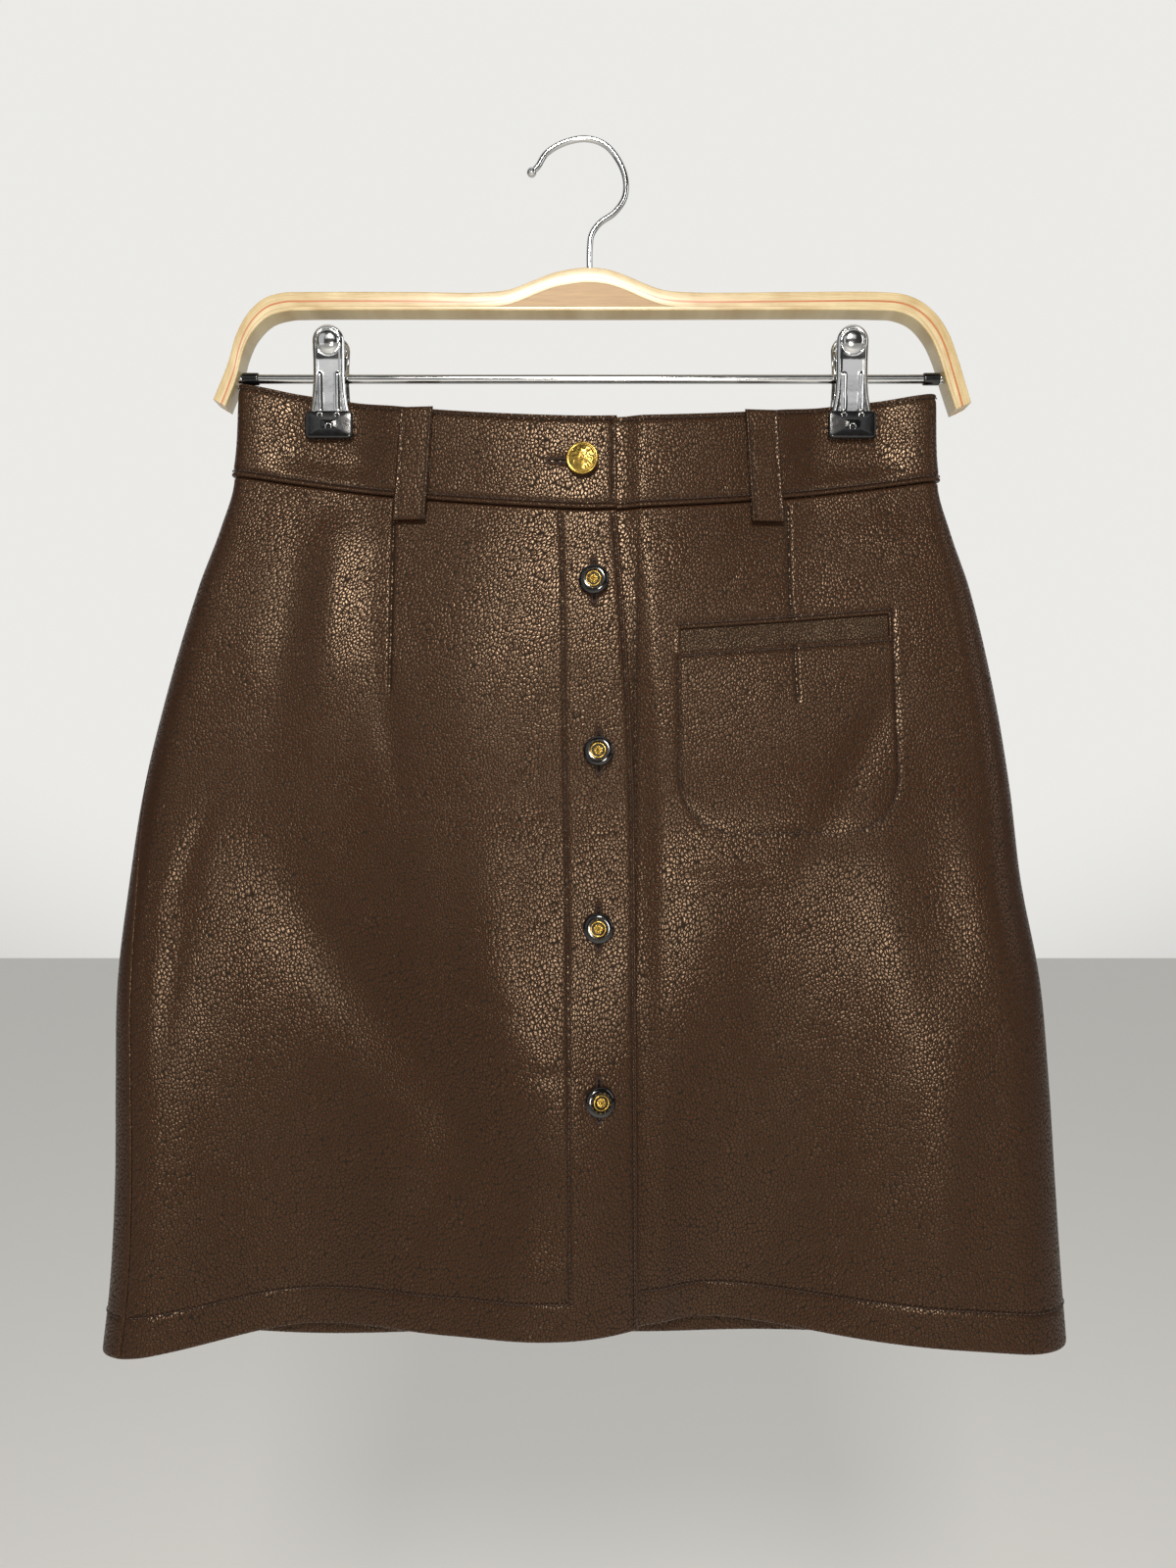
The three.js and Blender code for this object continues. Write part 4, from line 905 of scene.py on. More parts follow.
back = leather_wall(
    "back_panel_leather", way, level, 0.0, hem_wall(level), [*back_darts, (back_hem[0], *HEM_GROOVE)]
)
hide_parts("back_panel")
stitches_back = sew("back_panel_stitches", [back_hem])

# The waistband: a shaped band, two layers of leather turned in and sewn along both edges, in three
# pieces that meet at the side folds. Its right end laps over the left one and carries a buttonhole.
BAND_END_X, BAND_OVERLAP_BACK, BAND_STEP = 14.3, 3.0, 0.006
LEFT_BAND_SEAM, RIGHT_BAND_SEAM = 1.03, 2.97
BAND_TOP_ROW, BAND_LOW_ROW = -0.955, -0.062
WAIST_BUTTON_X, WAIST_BUTTON_Z = -2.6, -164.6
BAND_LIPS, BAND_LIP, BAND_GROOVE, WAIST_SLIT = (-0.982, -0.025), (-0.4, 1.0), (0.55, 1.2), (1.5, 0.7)
band_levels = [lambda x: -1.0, lambda x: BAND_TOP_ROW, lambda x: BAND_LOW_ROW, lambda x: 0.0]


def band_inset(x):
    return BAND_OVERLAP_BACK * (1 - smooth(BAND_END_X + 1, BAND_END_X + 14, x)) - BAND_PROUD


def band_row(start, end, level, under=False):
    """A row of stitches along the band, in front of its stand under the overlap."""
    points, normals = seam_line((start, end), level, -BAND_PROUD, 420)
    if under:
        points = points + [0, 1, 0] * (band_inset(points[:, :1]) + BAND_PROUD)
    return points, normals


def band_grooves(rows, start, end, under=False):
    """Each row of stitches sinks, and the turned edges past the long rows stand up as lips."""
    lips = [(band_row(start, end, level, under)[0], *BAND_LIP) for level in BAND_LIPS]
    return [(points, *BAND_GROOVE) for points, _ in rows] + lips


way, level = grid_through(
    [
        lambda v: np.full_like(v, RIGHT_BAND_SEAM - 4 + BAND_STEP),
        lambda v: way_at(WAIST_BUTTON_X - 17, v),
        lambda v: way_at(BAND_END_X - EDGE_SEAM_IN, v),
        lambda v: way_at(BAND_END_X, v),
    ],
    (80, 18, 5),
    band_levels,
    (5, 26, 6),
)
end_way = float(way_at(BAND_END_X - EDGE_SEAM_IN, -0.5))
right_band_rows = [band_row(-0.995, end_way, BAND_TOP_ROW), band_row(-0.995, end_way, BAND_LOW_ROW)]
end_row = upright_line(
    lambda v: BAND_END_X - EDGE_SEAM_IN, BAND_TOP_ROW, BAND_LOW_ROW, -BAND_PROUD
)
right_band_rows.append(end_row)
slit_x = WAIST_BUTTON_X - 17 + np.linspace(0, 20, 40)
waist_slit = on_skirt(slit_x, np.full(40, WAIST_BUTTON_Z), -BAND_PROUD)
band_right = leather_wall(
    "waistband_right_leather",
    way,
    level,
    -BAND_PROUD,
    BAND_THICKNESS,
    band_grooves(right_band_rows, -1.0, end_way) + [(waist_slit, *WAIST_SLIT)],
)
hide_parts("waistband_right")
band_right_stitches = sew("waistband_right_stitches", right_band_rows)
way, level = grid_through(
    [
        lambda v: way_at(UNDERLAP_EDGE_X - 5, v),
        lambda v: way_at(BAND_END_X + 14, v),
        lambda v: np.full_like(v, LEFT_BAND_SEAM - BAND_STEP),
    ],
    (20, 78),
    band_levels,
    (5, 26, 6),
)
start_way = float(way_at(BAND_END_X + 1.5, -0.5))
left_band_rows = [band_row(start_way, 0.995, row, True) for row in (BAND_TOP_ROW, BAND_LOW_ROW)]
band_left = leather_wall(
    "waistband_left_leather",
    way,
    level,
    band_inset(skirt(way, level)[..., 0]),
    BAND_THICKNESS,
    band_grooves(left_band_rows, start_way, 1.0, True),
)
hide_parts("waistband_left")
band_left_stitches = sew("waistband_left_stitches", left_band_rows)
way, level = grid_through(
    [lambda v: np.full_like(v, LEFT_BAND_SEAM), lambda v: np.full_like(v, RIGHT_BAND_SEAM)],
    (150,),
    band_levels,
    (5, 22, 6),
    0.4,
)
back_band_rows = [band_row(1.05, 2.95, row) for row in (BAND_TOP_ROW, BAND_LOW_ROW)]
band_back = leather_wall(
    "waistband_back_leather",
    way,
    level,
    -BAND_PROUD,
    BAND_THICKNESS,
    band_grooves(back_band_rows, 1.04, 2.96),
)
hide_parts("waistband_back")
band_back_stitches = sew("waistband_back_stitches", back_band_rows)

# Belt loops: leather strips folded in three, sewn along both edges and tacked over the band's top
# edge and just below its seam, so each stands off the band with a folded lower end.
LOOP_WIDTH, LOOP_THICK, LOOP_NEAR, LOOP_OFF, LOOP_FOOT, LOOP_BELOW = 16.5, 2.0, 0.6, 1.7, 5, 12


def cut_corners(points, times):
    """A closed outline with each corner cut off at a quarter of its sides, again and again."""
    for _ in range(times):
        after = np.roll(points, -1, axis=0)
        points = np.stack([0.75 * points + 0.25 * after, 0.25 * points + 0.75 * after], 1).reshape(-1, 2)
    return points


def belt_loop(name, top_x, bottom_x, back):
    """A closed profile of heights and distances from the cloth, carried across the strip; near its
    sides the profile closes on its middle in a quarter circle."""
    way = way_at(top_x, -1.0)
    top = float(skirt(2 - way if back else way, -1.0)[2]) - 0.6
    way = way_at(bottom_x, 0.0)
    seam = float(skirt(2 - way if back else way, 0.0)[2])
    low, out, half = seam - LOOP_BELOW, LOOP_OFF + LOOP_THICK, (top + seam) / 2
    profile = [
        (top - LOOP_FOOT, LOOP_NEAR),
        (top - 0.8, LOOP_NEAR),
        (top + 0.1, LOOP_NEAR + 0.9),
        (top, out - 0.4),
        (top - 1.6, out),
        (top - 4, out + 0.05),
        (half, out + 0.1),
        (seam + 6, out),
        (seam - 1.5, out + 0.25),
        (low + 2.4, out),
        (low + 0.4, out - 0.5),
        (low, out - 1.4),
        (low + 0.3, LOOP_NEAR + 0.3),
        (low + 1.2, LOOP_NEAR),
        (low + LOOP_FOOT, LOOP_NEAR),
        (low + LOOP_FOOT + 0.6, LOOP_OFF),
        (seam + 3, LOOP_OFF),
        (half, LOOP_OFF),
        (top - LOOP_FOOT - 0.8, LOOP_OFF),
    ]
    profile = cut_corners(np.array(profile, float), 2)
    edge = np.array([0.02, 0.12, 0.35, 0.7, 1.1, 1.7, 2.6, 4.2, 6.2, LOOP_WIDTH / 2])
    offset = np.concatenate([edge - LOOP_WIDTH / 2, (LOOP_WIDTH / 2 - edge)[-2::-1]])
    distance = np.minimum(offset + LOOP_WIDTH / 2, LOOP_WIDTH / 2 - offset)
    squeeze = np.sqrt(np.clip(1 - np.clip(1 - distance / 1.1, 0, None) ** 2, 0.02, None))
    puff = 0.18 * np.exp(-(((distance - 1.0) / 0.7) ** 2)) - 0.3 * np.exp(-(((distance - 2.0) / 0.5) ** 2))
    lean = (bottom_x - top_x) / (low - top)
    z = np.broadcast_to(profile[:, 0], (len(offset), len(profile)))
    x = top_x + (z - top) * lean + offset[:, None]
    middle = (LOOP_OFF + out) / 2
    off = middle + (profile[:, 1] - middle) * squeeze[:, None]
    off = off + puff[:, None] * (profile[:, 1] > out - 0.6)
    proud = np.where((z > seam - 1) | (profile[:, 1] > LOOP_NEAR + 0.1), BAND_PROUD, 0)
    y = on_skirt(x, z, -proud - off, back)[..., 1]
    points = np.stack([x, y, z], -1)
    rows, columns = x.shape
    faces = [list(f) for f in grid_faces(rows, columns, wrap=True, flip=not back)]
    faces += end_faces(rows, columns) if back else [end[::-1] for end in end_faces(rows, columns)]
    uv = np.stack([np.broadcast_to(offset[:, None], x.shape), z], -1).reshape(-1, 2)
    side = np.broadcast_to(distance[:, None], x.shape).ravel()
    dye = np.exp(-side / 1.5) * 0.6
    # Painted shade along the stitch rows and at the loop's edges, kept in the 'seam' attribute.
    sunk = np.maximum(0.7 * np.exp(-(((side - 2.0) / 0.6) ** 2)), np.exp(-((side / 0.5) ** 2)))
    made = put_mesh(name + "_leather", points.reshape(-1, 3), faces, pebbled, "leather", uv, dye, sunk)
    rows = []
    for side in (-1, 1):
        run = np.linspace(top - 1.5, low + 2.6, 90)
        line_x = top_x + (run - top) * lean + side * (LOOP_WIDTH / 2 - 2.0)
        line = on_skirt(line_x, run, -BAND_PROUD - out + 0.12, back)
        rows.append((line, np.broadcast_to([0.0, 1.0 if back else -1.0, 0.0], line.shape)))
    sewn = sew(name + "_stitches", rows)
    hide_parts(name)


for name, top_x, bottom_x, back in (
    ("belt_loop_front_right", -85.0, -88.6, False),
    ("belt_loop_front_left", 86.0, 89.2, False),
    ("belt_loop_back_right", -85.0, -88.6, True),
    ("belt_loop_back_left", 86.0, 89.2, True),
):
    belt_loop(name, top_x, bottom_x, back)


# Front buttons: moulded black enamel on a shank, with a gilt ring, a ring of small pale beads and
# a gilt rosette of eight petals pressed into the middle. Each shank goes through its buttonhole.
BUTTON_OFF, BUTTON_SIDES = 2.0, 72
enamel, tree = new_material("black_enamel")
swirl = add_node(
    tree,
    "ShaderNodeTexNoise",
    {"Vector": add_node(tree, "ShaderNodeTexCoord").outputs["Object"], "Scale": 260.0, "Detail": 2.0},
)
finish_material(
    tree,
    **{
        "Base Color": linear("#0b0909"),
        "Roughness": add_node(
            tree, "ShaderNodeMapRange", {"Value": swirl.outputs["Fac"], "To Min": 0.06, "To Max": 0.2}
        ).outputs["Result"],
        "IOR": 1.52,
        "Coat Weight": 0.5,
        "Coat Roughness": 0.05,
    },
)
# Gilt brass, stamped and lacquered: warm yellow on the high places, browner in the recesses.
gilt, tree = new_material("gilt_brass")
place = add_node(tree, "ShaderNodeTexCoord").outputs["Object"]
hammer = add_node(tree, "ShaderNodeTexNoise", {"Vector": place, "Scale": 900.0, "Detail": 3.0})
tarnish = add_node(
    tree,
    "ShaderNodeMix",
    {"Factor": hammer.outputs["Fac"], FIRST: linear("#8a6824"), SECOND: linear("#cdae5e")},
    data_type="RGBA",
).outputs[MIXED]
finish_material(
    tree,
    **{
        "Base Color": tarnish,
        "Metallic": 1.0,
        "Roughness": add_node(
            tree, "ShaderNodeMapRange", {"Value": hammer.outputs["Fac"], "To Min": 0.16, "To Max": 0.34}
        ).outputs["Result"],
        "Normal": add_node(
            tree, "ShaderNodeBump", {"Height": hammer.outputs["Fac"], "Strength": 0.3, "Distance": 0.0001}
        ).outputs["Normal"],
    },
)


def cloth_frame(x, z):
    """The leather's own directions at a place, as rows: along it, into it and up it."""
    point = {step: on_skirt(x + step[0], z + step[1]) for step in ((2, 0), (-2, 0), (0, 2), (0, -2))}
    along = point[2, 0] - point[-2, 0]
    along /= np.linalg.norm(along)
    up = point[0, 2] - point[0, -2]
    into = np.cross(up, along)
    into /= np.linalg.norm(into)
    return np.stack([along, into, np.cross(along, into)])


def button_place(x, z, turn, lean, proud):
    """How a button's own points go to the skirt: leant, turned, stood off, and set on the leather."""
    c, s = math.cos(math.radians(lean)), math.sin(math.radians(lean))
    leaning = np.array([[1, 0, 0], [0, c, -s], [0, s, c]])
    c, s = math.cos(math.radians(turn)), math.sin(math.radians(turn))
    turning = np.array([[c, -s, 0], [s, c, 0], [0, 0, 1]])
    frame_rows, at = cloth_frame(x, z), on_skirt(x, z)

    def place_points(points):
        local = points @ leaning.T @ turning.T + [0, -proud - BUTTON_OFF, 0]
        return at + local @ frame_rows

    return place_points


def turned(profile, sides, ripple=None):
    """A turned form about Y: rings of radius and height, closed by a point at each end, where
    ripple gives what is added to each height for a radius and an angle."""
    radius, high = np.array(profile, float)[1:-1].T
    angle = np.arange(sides) / sides * 2 * math.pi
    lift = high[:, None] + (0 if ripple is None else ripple(radius[:, None], angle[None]))
    lift = np.broadcast_to(lift, (len(radius), sides))
    x, z = radius[:, None] * np.cos(angle), radius[:, None] * np.sin(angle)
    rings = np.stack([x, -lift, z], -1).reshape(-1, 3)
    points = np.concatenate([rings, [[0, -profile[0][1], 0], [0, -profile[-1][1], 0]]])
    faces = grid_faces(len(radius), sides, wrap=True, flip=True).tolist()
    first, last, around = len(rings), len(rings) + 1, np.arange(sides)
    after = (around + 1) % sides
    faces += np.stack([np.full(sides, first), around, after], -1).tolist()
    top = (len(radius) - 1) * sides
    faces += np.stack([np.full(sides, last), top + after, top + around], -1).tolist()
    return points, faces


SHANK_REACH = 4.5
BODY_PROFILE = [(0, -SHANK_REACH), (0.9, -SHANK_REACH), (0.95, -4.2), (0.95, -0.1), (1.4, 0), (5.4, 0)]
BODY_PROFILE += [(6.3, 0.15), (6.95, 0.55), (7.25, 1.05), (7.3, 1.5), (7.15, 2.0), (6.7, 2.5), (6.0, 2.86)]
BODY_PROFILE += [(5.4, 3.02), (4.9, 3.06), (4.3, 3.02), (4.0, 2.96), (3.0, 2.9), (1.5, 2.9), (0.4, 2.9)]
BODY_PROFILE += [(0, 2.9)]
RING_PROFILE = [(2.95, 2.8), (3.02, 3.1), (3.2, 3.32), (3.45, 3.4), (3.7, 3.3), (3.88, 3.08), (3.95, 2.8)]
BEADS, BEAD_AT, BEAD_RADIUS = 13, 4.75, 0.4
ball = [(0, -1.0)] + [(math.sin(a), -math.cos(a)) for a in np.linspace(0.35, 2.8, 7)] + [(0, 1.0)]


def rosette(radius, angle):
    """Eight petals: a cosine of eight times the angle, strongest half way out."""
    return 0.2 * np.cos(8 * angle) * np.exp(-(((radius - 1.5) / 0.7) ** 2))


ROSETTE_PROFILE = [(0, 2.7), (2.2, 2.7), (2.36, 2.9), (2.3, 3.12), (2.05, 3.24), (1.8, 3.3), (1.5, 3.34)]
ROSETTE_PROFILE += [(1.15, 3.3), (0.85, 3.2), (0.66, 3.24), (0.5, 3.42), (0.25, 3.5), (0, 3.52)]
for name, x, z, turn, lean in (
    ("button_1", 3.0, -224.7, -8, 3),
    ("button_2", 5.2, -308.2, -8, -4),
    ("button_3", 5.0, -392.3, -4, 3),
    ("button_4", 5.3, -474.0, 5, -3),
):
    place = button_place(x, z, turn, lean, 0.0)
    points, faces = turned(BODY_PROFILE, BUTTON_SIDES)
    body = put_mesh(name + "_body", place(points), faces, enamel, "enamel")
    ring = np.array(RING_PROFILE)
    around = np.arange(BUTTON_SIDES) / BUTTON_SIDES * 2 * math.pi
    ring_points = np.stack(
        [
            ring[:, :1] * np.cos(around),
            np.broadcast_to(-ring[:, 1:], (len(ring), BUTTON_SIDES)),
            ring[:, :1] * np.sin(around),
        ],
        -1,
    ).reshape(-1, 3)
    ring_faces = grid_faces(len(ring), BUTTON_SIDES, wrap=True).tolist()
    close = (len(ring) - 1) * BUTTON_SIDES
    step = np.arange(BUTTON_SIDES)
    after = (step + 1) % BUTTON_SIDES
    ring_faces += np.stack([close + step, step, after, close + after], -1).tolist()
    parts = [(ring_points, ring_faces), turned(ROSETTE_PROFILE, 64, rosette)]
    ball_points, ball_faces = turned(ball, 10)
    for k in range(BEADS):
        a = 2 * math.pi * (k + 0.5) / BEADS
        at = np.array([BEAD_AT * math.cos(a), -3.12, BEAD_AT * math.sin(a)])
        parts.append((ball_points * BEAD_RADIUS + at, ball_faces))
    points, faces = joined(parts)
    trim = put_mesh(name + "_gilt", place(points), faces, gilt, "gilt")
    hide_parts(name)
    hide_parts(name)

# The waist button: stamped gilt brass, a low dome inside a raised rim, with a hammered field.
rng = np.random.default_rng(7)
dent_radius, dent_angle = 5.8 * np.sqrt(rng.random(46)), 2 * math.pi * rng.random(46)
dent_x, dent_z = dent_radius * np.cos(dent_angle), dent_radius * np.sin(dent_angle)
dent_size = 0.55 + 0.5 * rng.random(46)


def hammered(radius, angle):
    """Round dents, each a bell 0.2 mm deep, over the dome within the rim."""
    x, z = radius * np.cos(angle), radius * np.sin(angle)
    gap = (x[..., None] - dent_x) ** 2 + (z[..., None] - dent_z) ** 2
    dents = np.exp(-gap / dent_size**2).sum(-1)
    petals = 0.13 * np.cos(12 * angle) * np.exp(-(((radius - 4.9) / 0.9) ** 2))
    return (petals - 0.2 * np.clip(dents, 0, 1.4)) * (radius < 6.4) * (radius > 0.4)


waist_profile = [(0, -SHANK_REACH), (0.9, -SHANK_REACH), (0.95, -4.2), (0.95, -0.1), (1.4, 0), (6.2, 0)]
waist_profile += [(7.2, 0.25), (7.8, 0.8), (8.0, 1.5), (7.9, 2.0), (7.6, 2.3), (7.2, 2.4), (6.9, 2.25)]
waist_profile += [(6.7, 2.15), (6.4, 2.2)]
waist_profile += [(r, 2.25 + 1.5 * math.sqrt(1 - (r / 6.6) ** 2)) for r in np.linspace(6.1, 0.15, 40)]
waist_profile += [(0, 3.75)]
points, faces = turned(waist_profile, 110, hammered)
waist_button = put_mesh(
    "button_waist_body",
    button_place(WAIST_BUTTON_X, WAIST_BUTTON_Z, -9, 4, BAND_PROUD)(points),
    faces,
    gilt,
    "gilt",
)
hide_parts("button_waist")

# Buttonholes: slits worked round by machine with close stitches set square to the slit.
PURL_PITCH, PURL_LENGTH, PURL_RADIUS, PURL_OFF = 0.62, 1.5, 0.3, 1.05


def work_buttonhole(name, x, z, half, upright, proud):
    """Short stitches set across, in a row on each side of the slit and fanned round its ends."""
    run = np.arange(-half, half + 0.01, PURL_PITCH)
    fan = np.linspace(0, math.pi, 7)[1:-1]
    past_end, beside_end = PURL_OFF * np.sin(fan), PURL_OFF * np.cos(fan)
    along = np.concatenate([run, run, half + past_end, -half - past_end])
    beside = np.full(len(run), PURL_OFF)
    across = np.concatenate([beside, -beside, beside_end, beside_end])
    aim = np.stack([np.where(np.abs(along) > half, along - np.sign(along) * half, 0), across], -1)
    aim /= np.linalg.norm(aim, axis=1, keepdims=True)
    if upright:
        px, pz, ax, az = x + across, z + along, aim[:, 1], aim[:, 0]
    else:
        px, pz, ax, az = x + along, z + across, aim[:, 0], aim[:, 1]
    centre = on_skirt(px, pz, -proud - 0.1)
    ahead = on_skirt(px + 0.3 * ax, pz + 0.3 * az, -proud - 0.1)
    tangent = ahead - centre
    tangent /= np.linalg.norm(tangent, axis=1, keepdims=True)
    level = level_at(px, pz)
    normal = outward(way_at(px, level), level)
    share = np.linspace(-1, 1, 5)
    arch, radius = -0.35 * share**2, PURL_RADIUS * np.sqrt(1.1 - share**2)
    side = np.cross(normal, tangent)
    form = beads(centre, tangent, side, normal, share, PURL_LENGTH, arch, radius)
    return put_mesh(name, *form, thread, "leather")


for k, (x, z) in enumerate(BUTTONHOLES, 1):
    work_buttonhole(f"buttonhole_{k}_stitches", x, z, BUTTONHOLE_HALF - 0.8, True, 0.0)
work_buttonhole("buttonhole_waist_stitches", WAIST_BUTTON_X - 7.5, WAIST_BUTTON_Z, 9.5, False, BAND_PROUD)

# The hanger's bow: two strips of birch plywood bent and glued together, with the veneers' edges
# showing on its faces, and one red-brown veneer in the upper strip. Lacquered clear.
BOW_DEEP, BOW_ROUND, DARK_VENEER_AT, DARK_VENEER = 6.5, 0.7, 4.4, 0.95
birch, tree = new_material("birch_plywood")
uv = add_node(tree, "ShaderNodeUVMap", uv_map="cut").outputs["UV"]
across = add_node(tree, "ShaderNodeSeparateXYZ", {"Vector": uv}).outputs["Y"]
streaks = add_node(
    tree,
    "ShaderNodeTexNoise",
    {
        "Vector": add_node(
            tree, "ShaderNodeMapping", {"Vector": uv, "Scale": (60.0, 1400.0, 1.0)}
        ).outputs["Vector"],
        "Scale": 1.0,
        "Detail": 4.0,
    },
    noise_dimensions="2D",
).outputs["Fac"]
blotch = add_node(tree, "ShaderNodeTexNoise", {"Vector": uv, "Scale": 60.0, "Detail": 3.0}).outputs["Fac"]
shade = add_node(
    tree, "ShaderNodeMath", {0: streaks, 1: 0.6, 2: blotch}, operation="MULTIPLY_ADD"
).outputs["Value"]
pale = add_node(
    tree,
    "ShaderNodeMapRange",
    {"Value": shade, "From Min": 0.55, "From Max": 1.05},
).outputs["Result"]
wood = add_node(
    tree,
    "ShaderNodeMix",
    {"Factor": pale, FIRST: linear("#ab9263"), SECOND: linear("#c8b78e")},
    data_type="RGBA",
).outputs[MIXED]
edge_line = add_node(
    tree,
    "ShaderNodeMath",
    {0: across, 1: -(DARK_VENEER_AT + DARK_VENEER / 2) / 1000, 2: DARK_VENEER / 2000},
    operation="COMPARE",
).outputs["Value"]
banded = add_node(
    tree, "ShaderNodeMix", {"Factor": edge_line, FIRST: wood, SECOND: linear("#a9622a")}, data_type="RGBA"
).outputs[MIXED]
finish_material(
    tree,
    **{
        "Base Color": banded,
        "Roughness": 0.38,
        "Coat Weight": 0.35,
        "Coat Roughness": 0.2,
        "Normal": add_node(
            tree, "ShaderNodeBump", {"Height": streaks, "Strength": 0.25, "Distance": 0.0002}
        ).outputs["Normal"],
    },
)
BOW_OUTER = [(-187.1, -131.8), (-180.1, -114.4), (-175.4, -98.7), (-169.3, -88.0), (-161.4, -81.1)]
BOW_OUTER += [(-152.1, -78.4), (-142.8, -78.1), (-86.6, -78.1), (-54.0, -78.4), (-39.6, -76.9)]
BOW_OUTER += [(-27.4, -72.4), (-16.1, -68.2), (-0.7, -65.9), (10.0, -66.9), (18.6, -69.7), (27.4, -73.5)]
BOW_OUTER += [(37.5, -77.0), (52.0, -78.3), (102.2, -78.1), (146.0, -78.1), (158.0, -79.3), (167.4, -83.4)]
BOW_OUTER += [(175.1, -90.6), (180.5, -99.6), (184.2, -109.6), (188.1, -122.3), (191.3, -133.3)]
BOW_INNER = [(-181.0, -135.5), (-175.4, -120.7), (-172.2, -108.2), (-167.8, -98.7), (-160.0, -90.8)]
BOW_INNER += [(-150.4, -87.9), (-142.0, -87.5), (0.0, -87.5), (145.0, -87.5), (154.6, -88.1)]
BOW_INNER += [(163.0, -91.6), (170.2, -99.6), (175.1, -110.0), (179.0, -122.8), (183.6, -137.0)]
LENS_UNDER, LENS_BASE, LOWER_STRIP = 7.6, -85.5, 0.8
CORNERS_OUTER, CORNERS_INNER = (-152.1, 158.0), (-150.4, 154.6)


def curve_through(table, each=24):
    """Centripetal Catmull-Rom: between two points, cubics weighed by the root of the chords."""
    p = np.array(table, float)
    p = np.concatenate([[2 * p[0] - p[1]], p, [2 * p[-1] - p[-2]]])
    a, b, c, d = p[:-3, None], p[1:-2, None], p[2:-1, None], p[3:, None]
    ab, bc, cd = (np.sqrt(np.linalg.norm(k, axis=-1, keepdims=True)) for k in (b - a, c - b, d - c))
    start = ((b - a) / ab - (c - a) / (ab + bc) + (c - b) / bc) * bc
    end = ((c - b) / bc - (d - b) / (bc + cd) + (d - c) / cd) * bc
    t = (np.arange(each) / each)[None, :, None]
    cubic = (2 * t**3 - 3 * t**2 + 1) * b + (t**3 - 2 * t**2 + t) * start
    cubic = cubic + (3 * t**2 - 2 * t**3) * c + (t**3 - t**2) * end
    return np.concatenate([cubic.reshape(-1, p.shape[1]), p[-2:-1]])


def evenly(points, count):
    run = np.concatenate([[0], np.cumsum(np.linalg.norm(np.diff(points, axis=0), axis=1))])
    at = np.linspace(0, run[-1], count)
    return np.stack([np.interp(at, run, points[:, k]) for k in range(points.shape[1])], -1)


outer = evenly(curve_through(BOW_OUTER), 420)
inner_curve = evenly(curve_through(BOW_INNER), 900)
turn_left, turn_right = np.searchsorted(outer[:, 0], CORNERS_OUTER)
inner_left, inner_right = np.searchsorted(inner_curve[:, 0], CORNERS_INNER)
partner = np.concatenate(
    [
        np.linspace(0, inner_left, turn_left, endpoint=False),
        np.interp(
            np.interp(
                outer[turn_left:turn_right, 0],
                (outer[turn_left, 0], -120, 120, outer[turn_right - 1, 0]),
                (inner_curve[inner_left, 0], -120, 120, inner_curve[inner_right, 0]),
            ),
            inner_curve[:, 0],
            np.arange(900),
        ),
        np.linspace(inner_right, 899, len(outer) - turn_right),
    ]
)
inner = np.stack([np.interp(partner, np.arange(900), inner_curve[:, k]) for k in range(2)], -1)
shared = outer + (inner - outer) * LOWER_STRIP
lens = (outer[:, 0] > -60) & (outer[:, 0] < 60)
under = np.where(lens, np.maximum(outer[:, 1] - LENS_UNDER, LENS_BASE), shared[:, 1])
upper_low = np.stack([np.where(lens, outer[:, 0], shared[:, 0]), under], -1)
lower_high = np.stack([upper_low[:, 0], np.where(lens, LENS_BASE, shared[:, 1])], -1)


def strip(name, high, low, round_high, round_low, start):
    """A bent strip: a rounded rectangle's outline carried between its two edge lines."""
    gap = np.linalg.norm(low - high, axis=1, keepdims=True)
    down = (low - high) / np.maximum(gap, 1e-6)
    quarter = np.linspace(0, math.pi / 2, 5)
    front = []
    for edge, radius in ((0, round_high), (1, round_low)):
        steps = radius * (1 - np.cos(quarter))
        deep = BOW_DEEP - radius * (1 - np.sin(quarter))
        side = [(edge, s, -y) for s, y in zip(steps, deep)]
        front += side if edge == 0 else side[::-1]
    ring = front + [(edge, s, -y) for edge, s, y in front[::-1]]
    rows = []
    for edge, s, y in ring:
        reach = np.minimum(s, gap / 2.2)
        at = high + down * reach if edge == 0 else low - down * reach
        rows.append(np.stack([at[:, 0], np.full(len(at), y), at[:, 1]], -1))
    points = np.stack(rows, 1)
    count = len(ring)
    faces = grid_faces(len(high), count, wrap=True).tolist() + end_faces(len(high), count)
    run = np.concatenate([[0], np.cumsum(np.linalg.norm(np.diff(high, axis=0), axis=1))])
    away = np.stack([(s if e == 0 else gap[:, 0] - s) + np.zeros(len(high)) for e, s, y in ring], 1)
    uv = np.stack([np.broadcast_to(run[:, None], away.shape), -(away + start)], -1)
    return put_mesh(name, points.reshape(-1, 3), faces, birch, "birch_plywood", uv.reshape(-1, 2))


def facing_out(made):
    """Turns the faces outward where a closed form came out inside out, by the sign of its volume."""
    mesh = made.data
    mesh.calc_loop_triangles()
    corner = np.empty(len(mesh.loop_triangles) * 3, np.int32)
    mesh.loop_triangles.foreach_get("vertices", corner)
    place = np.empty(len(mesh.vertices) * 3)
    mesh.vertices.foreach_get("co", place)
    a, b, c = place.reshape(-1, 3)[corner.reshape(-1, 3)].transpose(1, 0, 2)
    if np.einsum("ij,ij->i", a, np.cross(b, c)).sum() < 0:
        mesh.flip_normals()
    return made


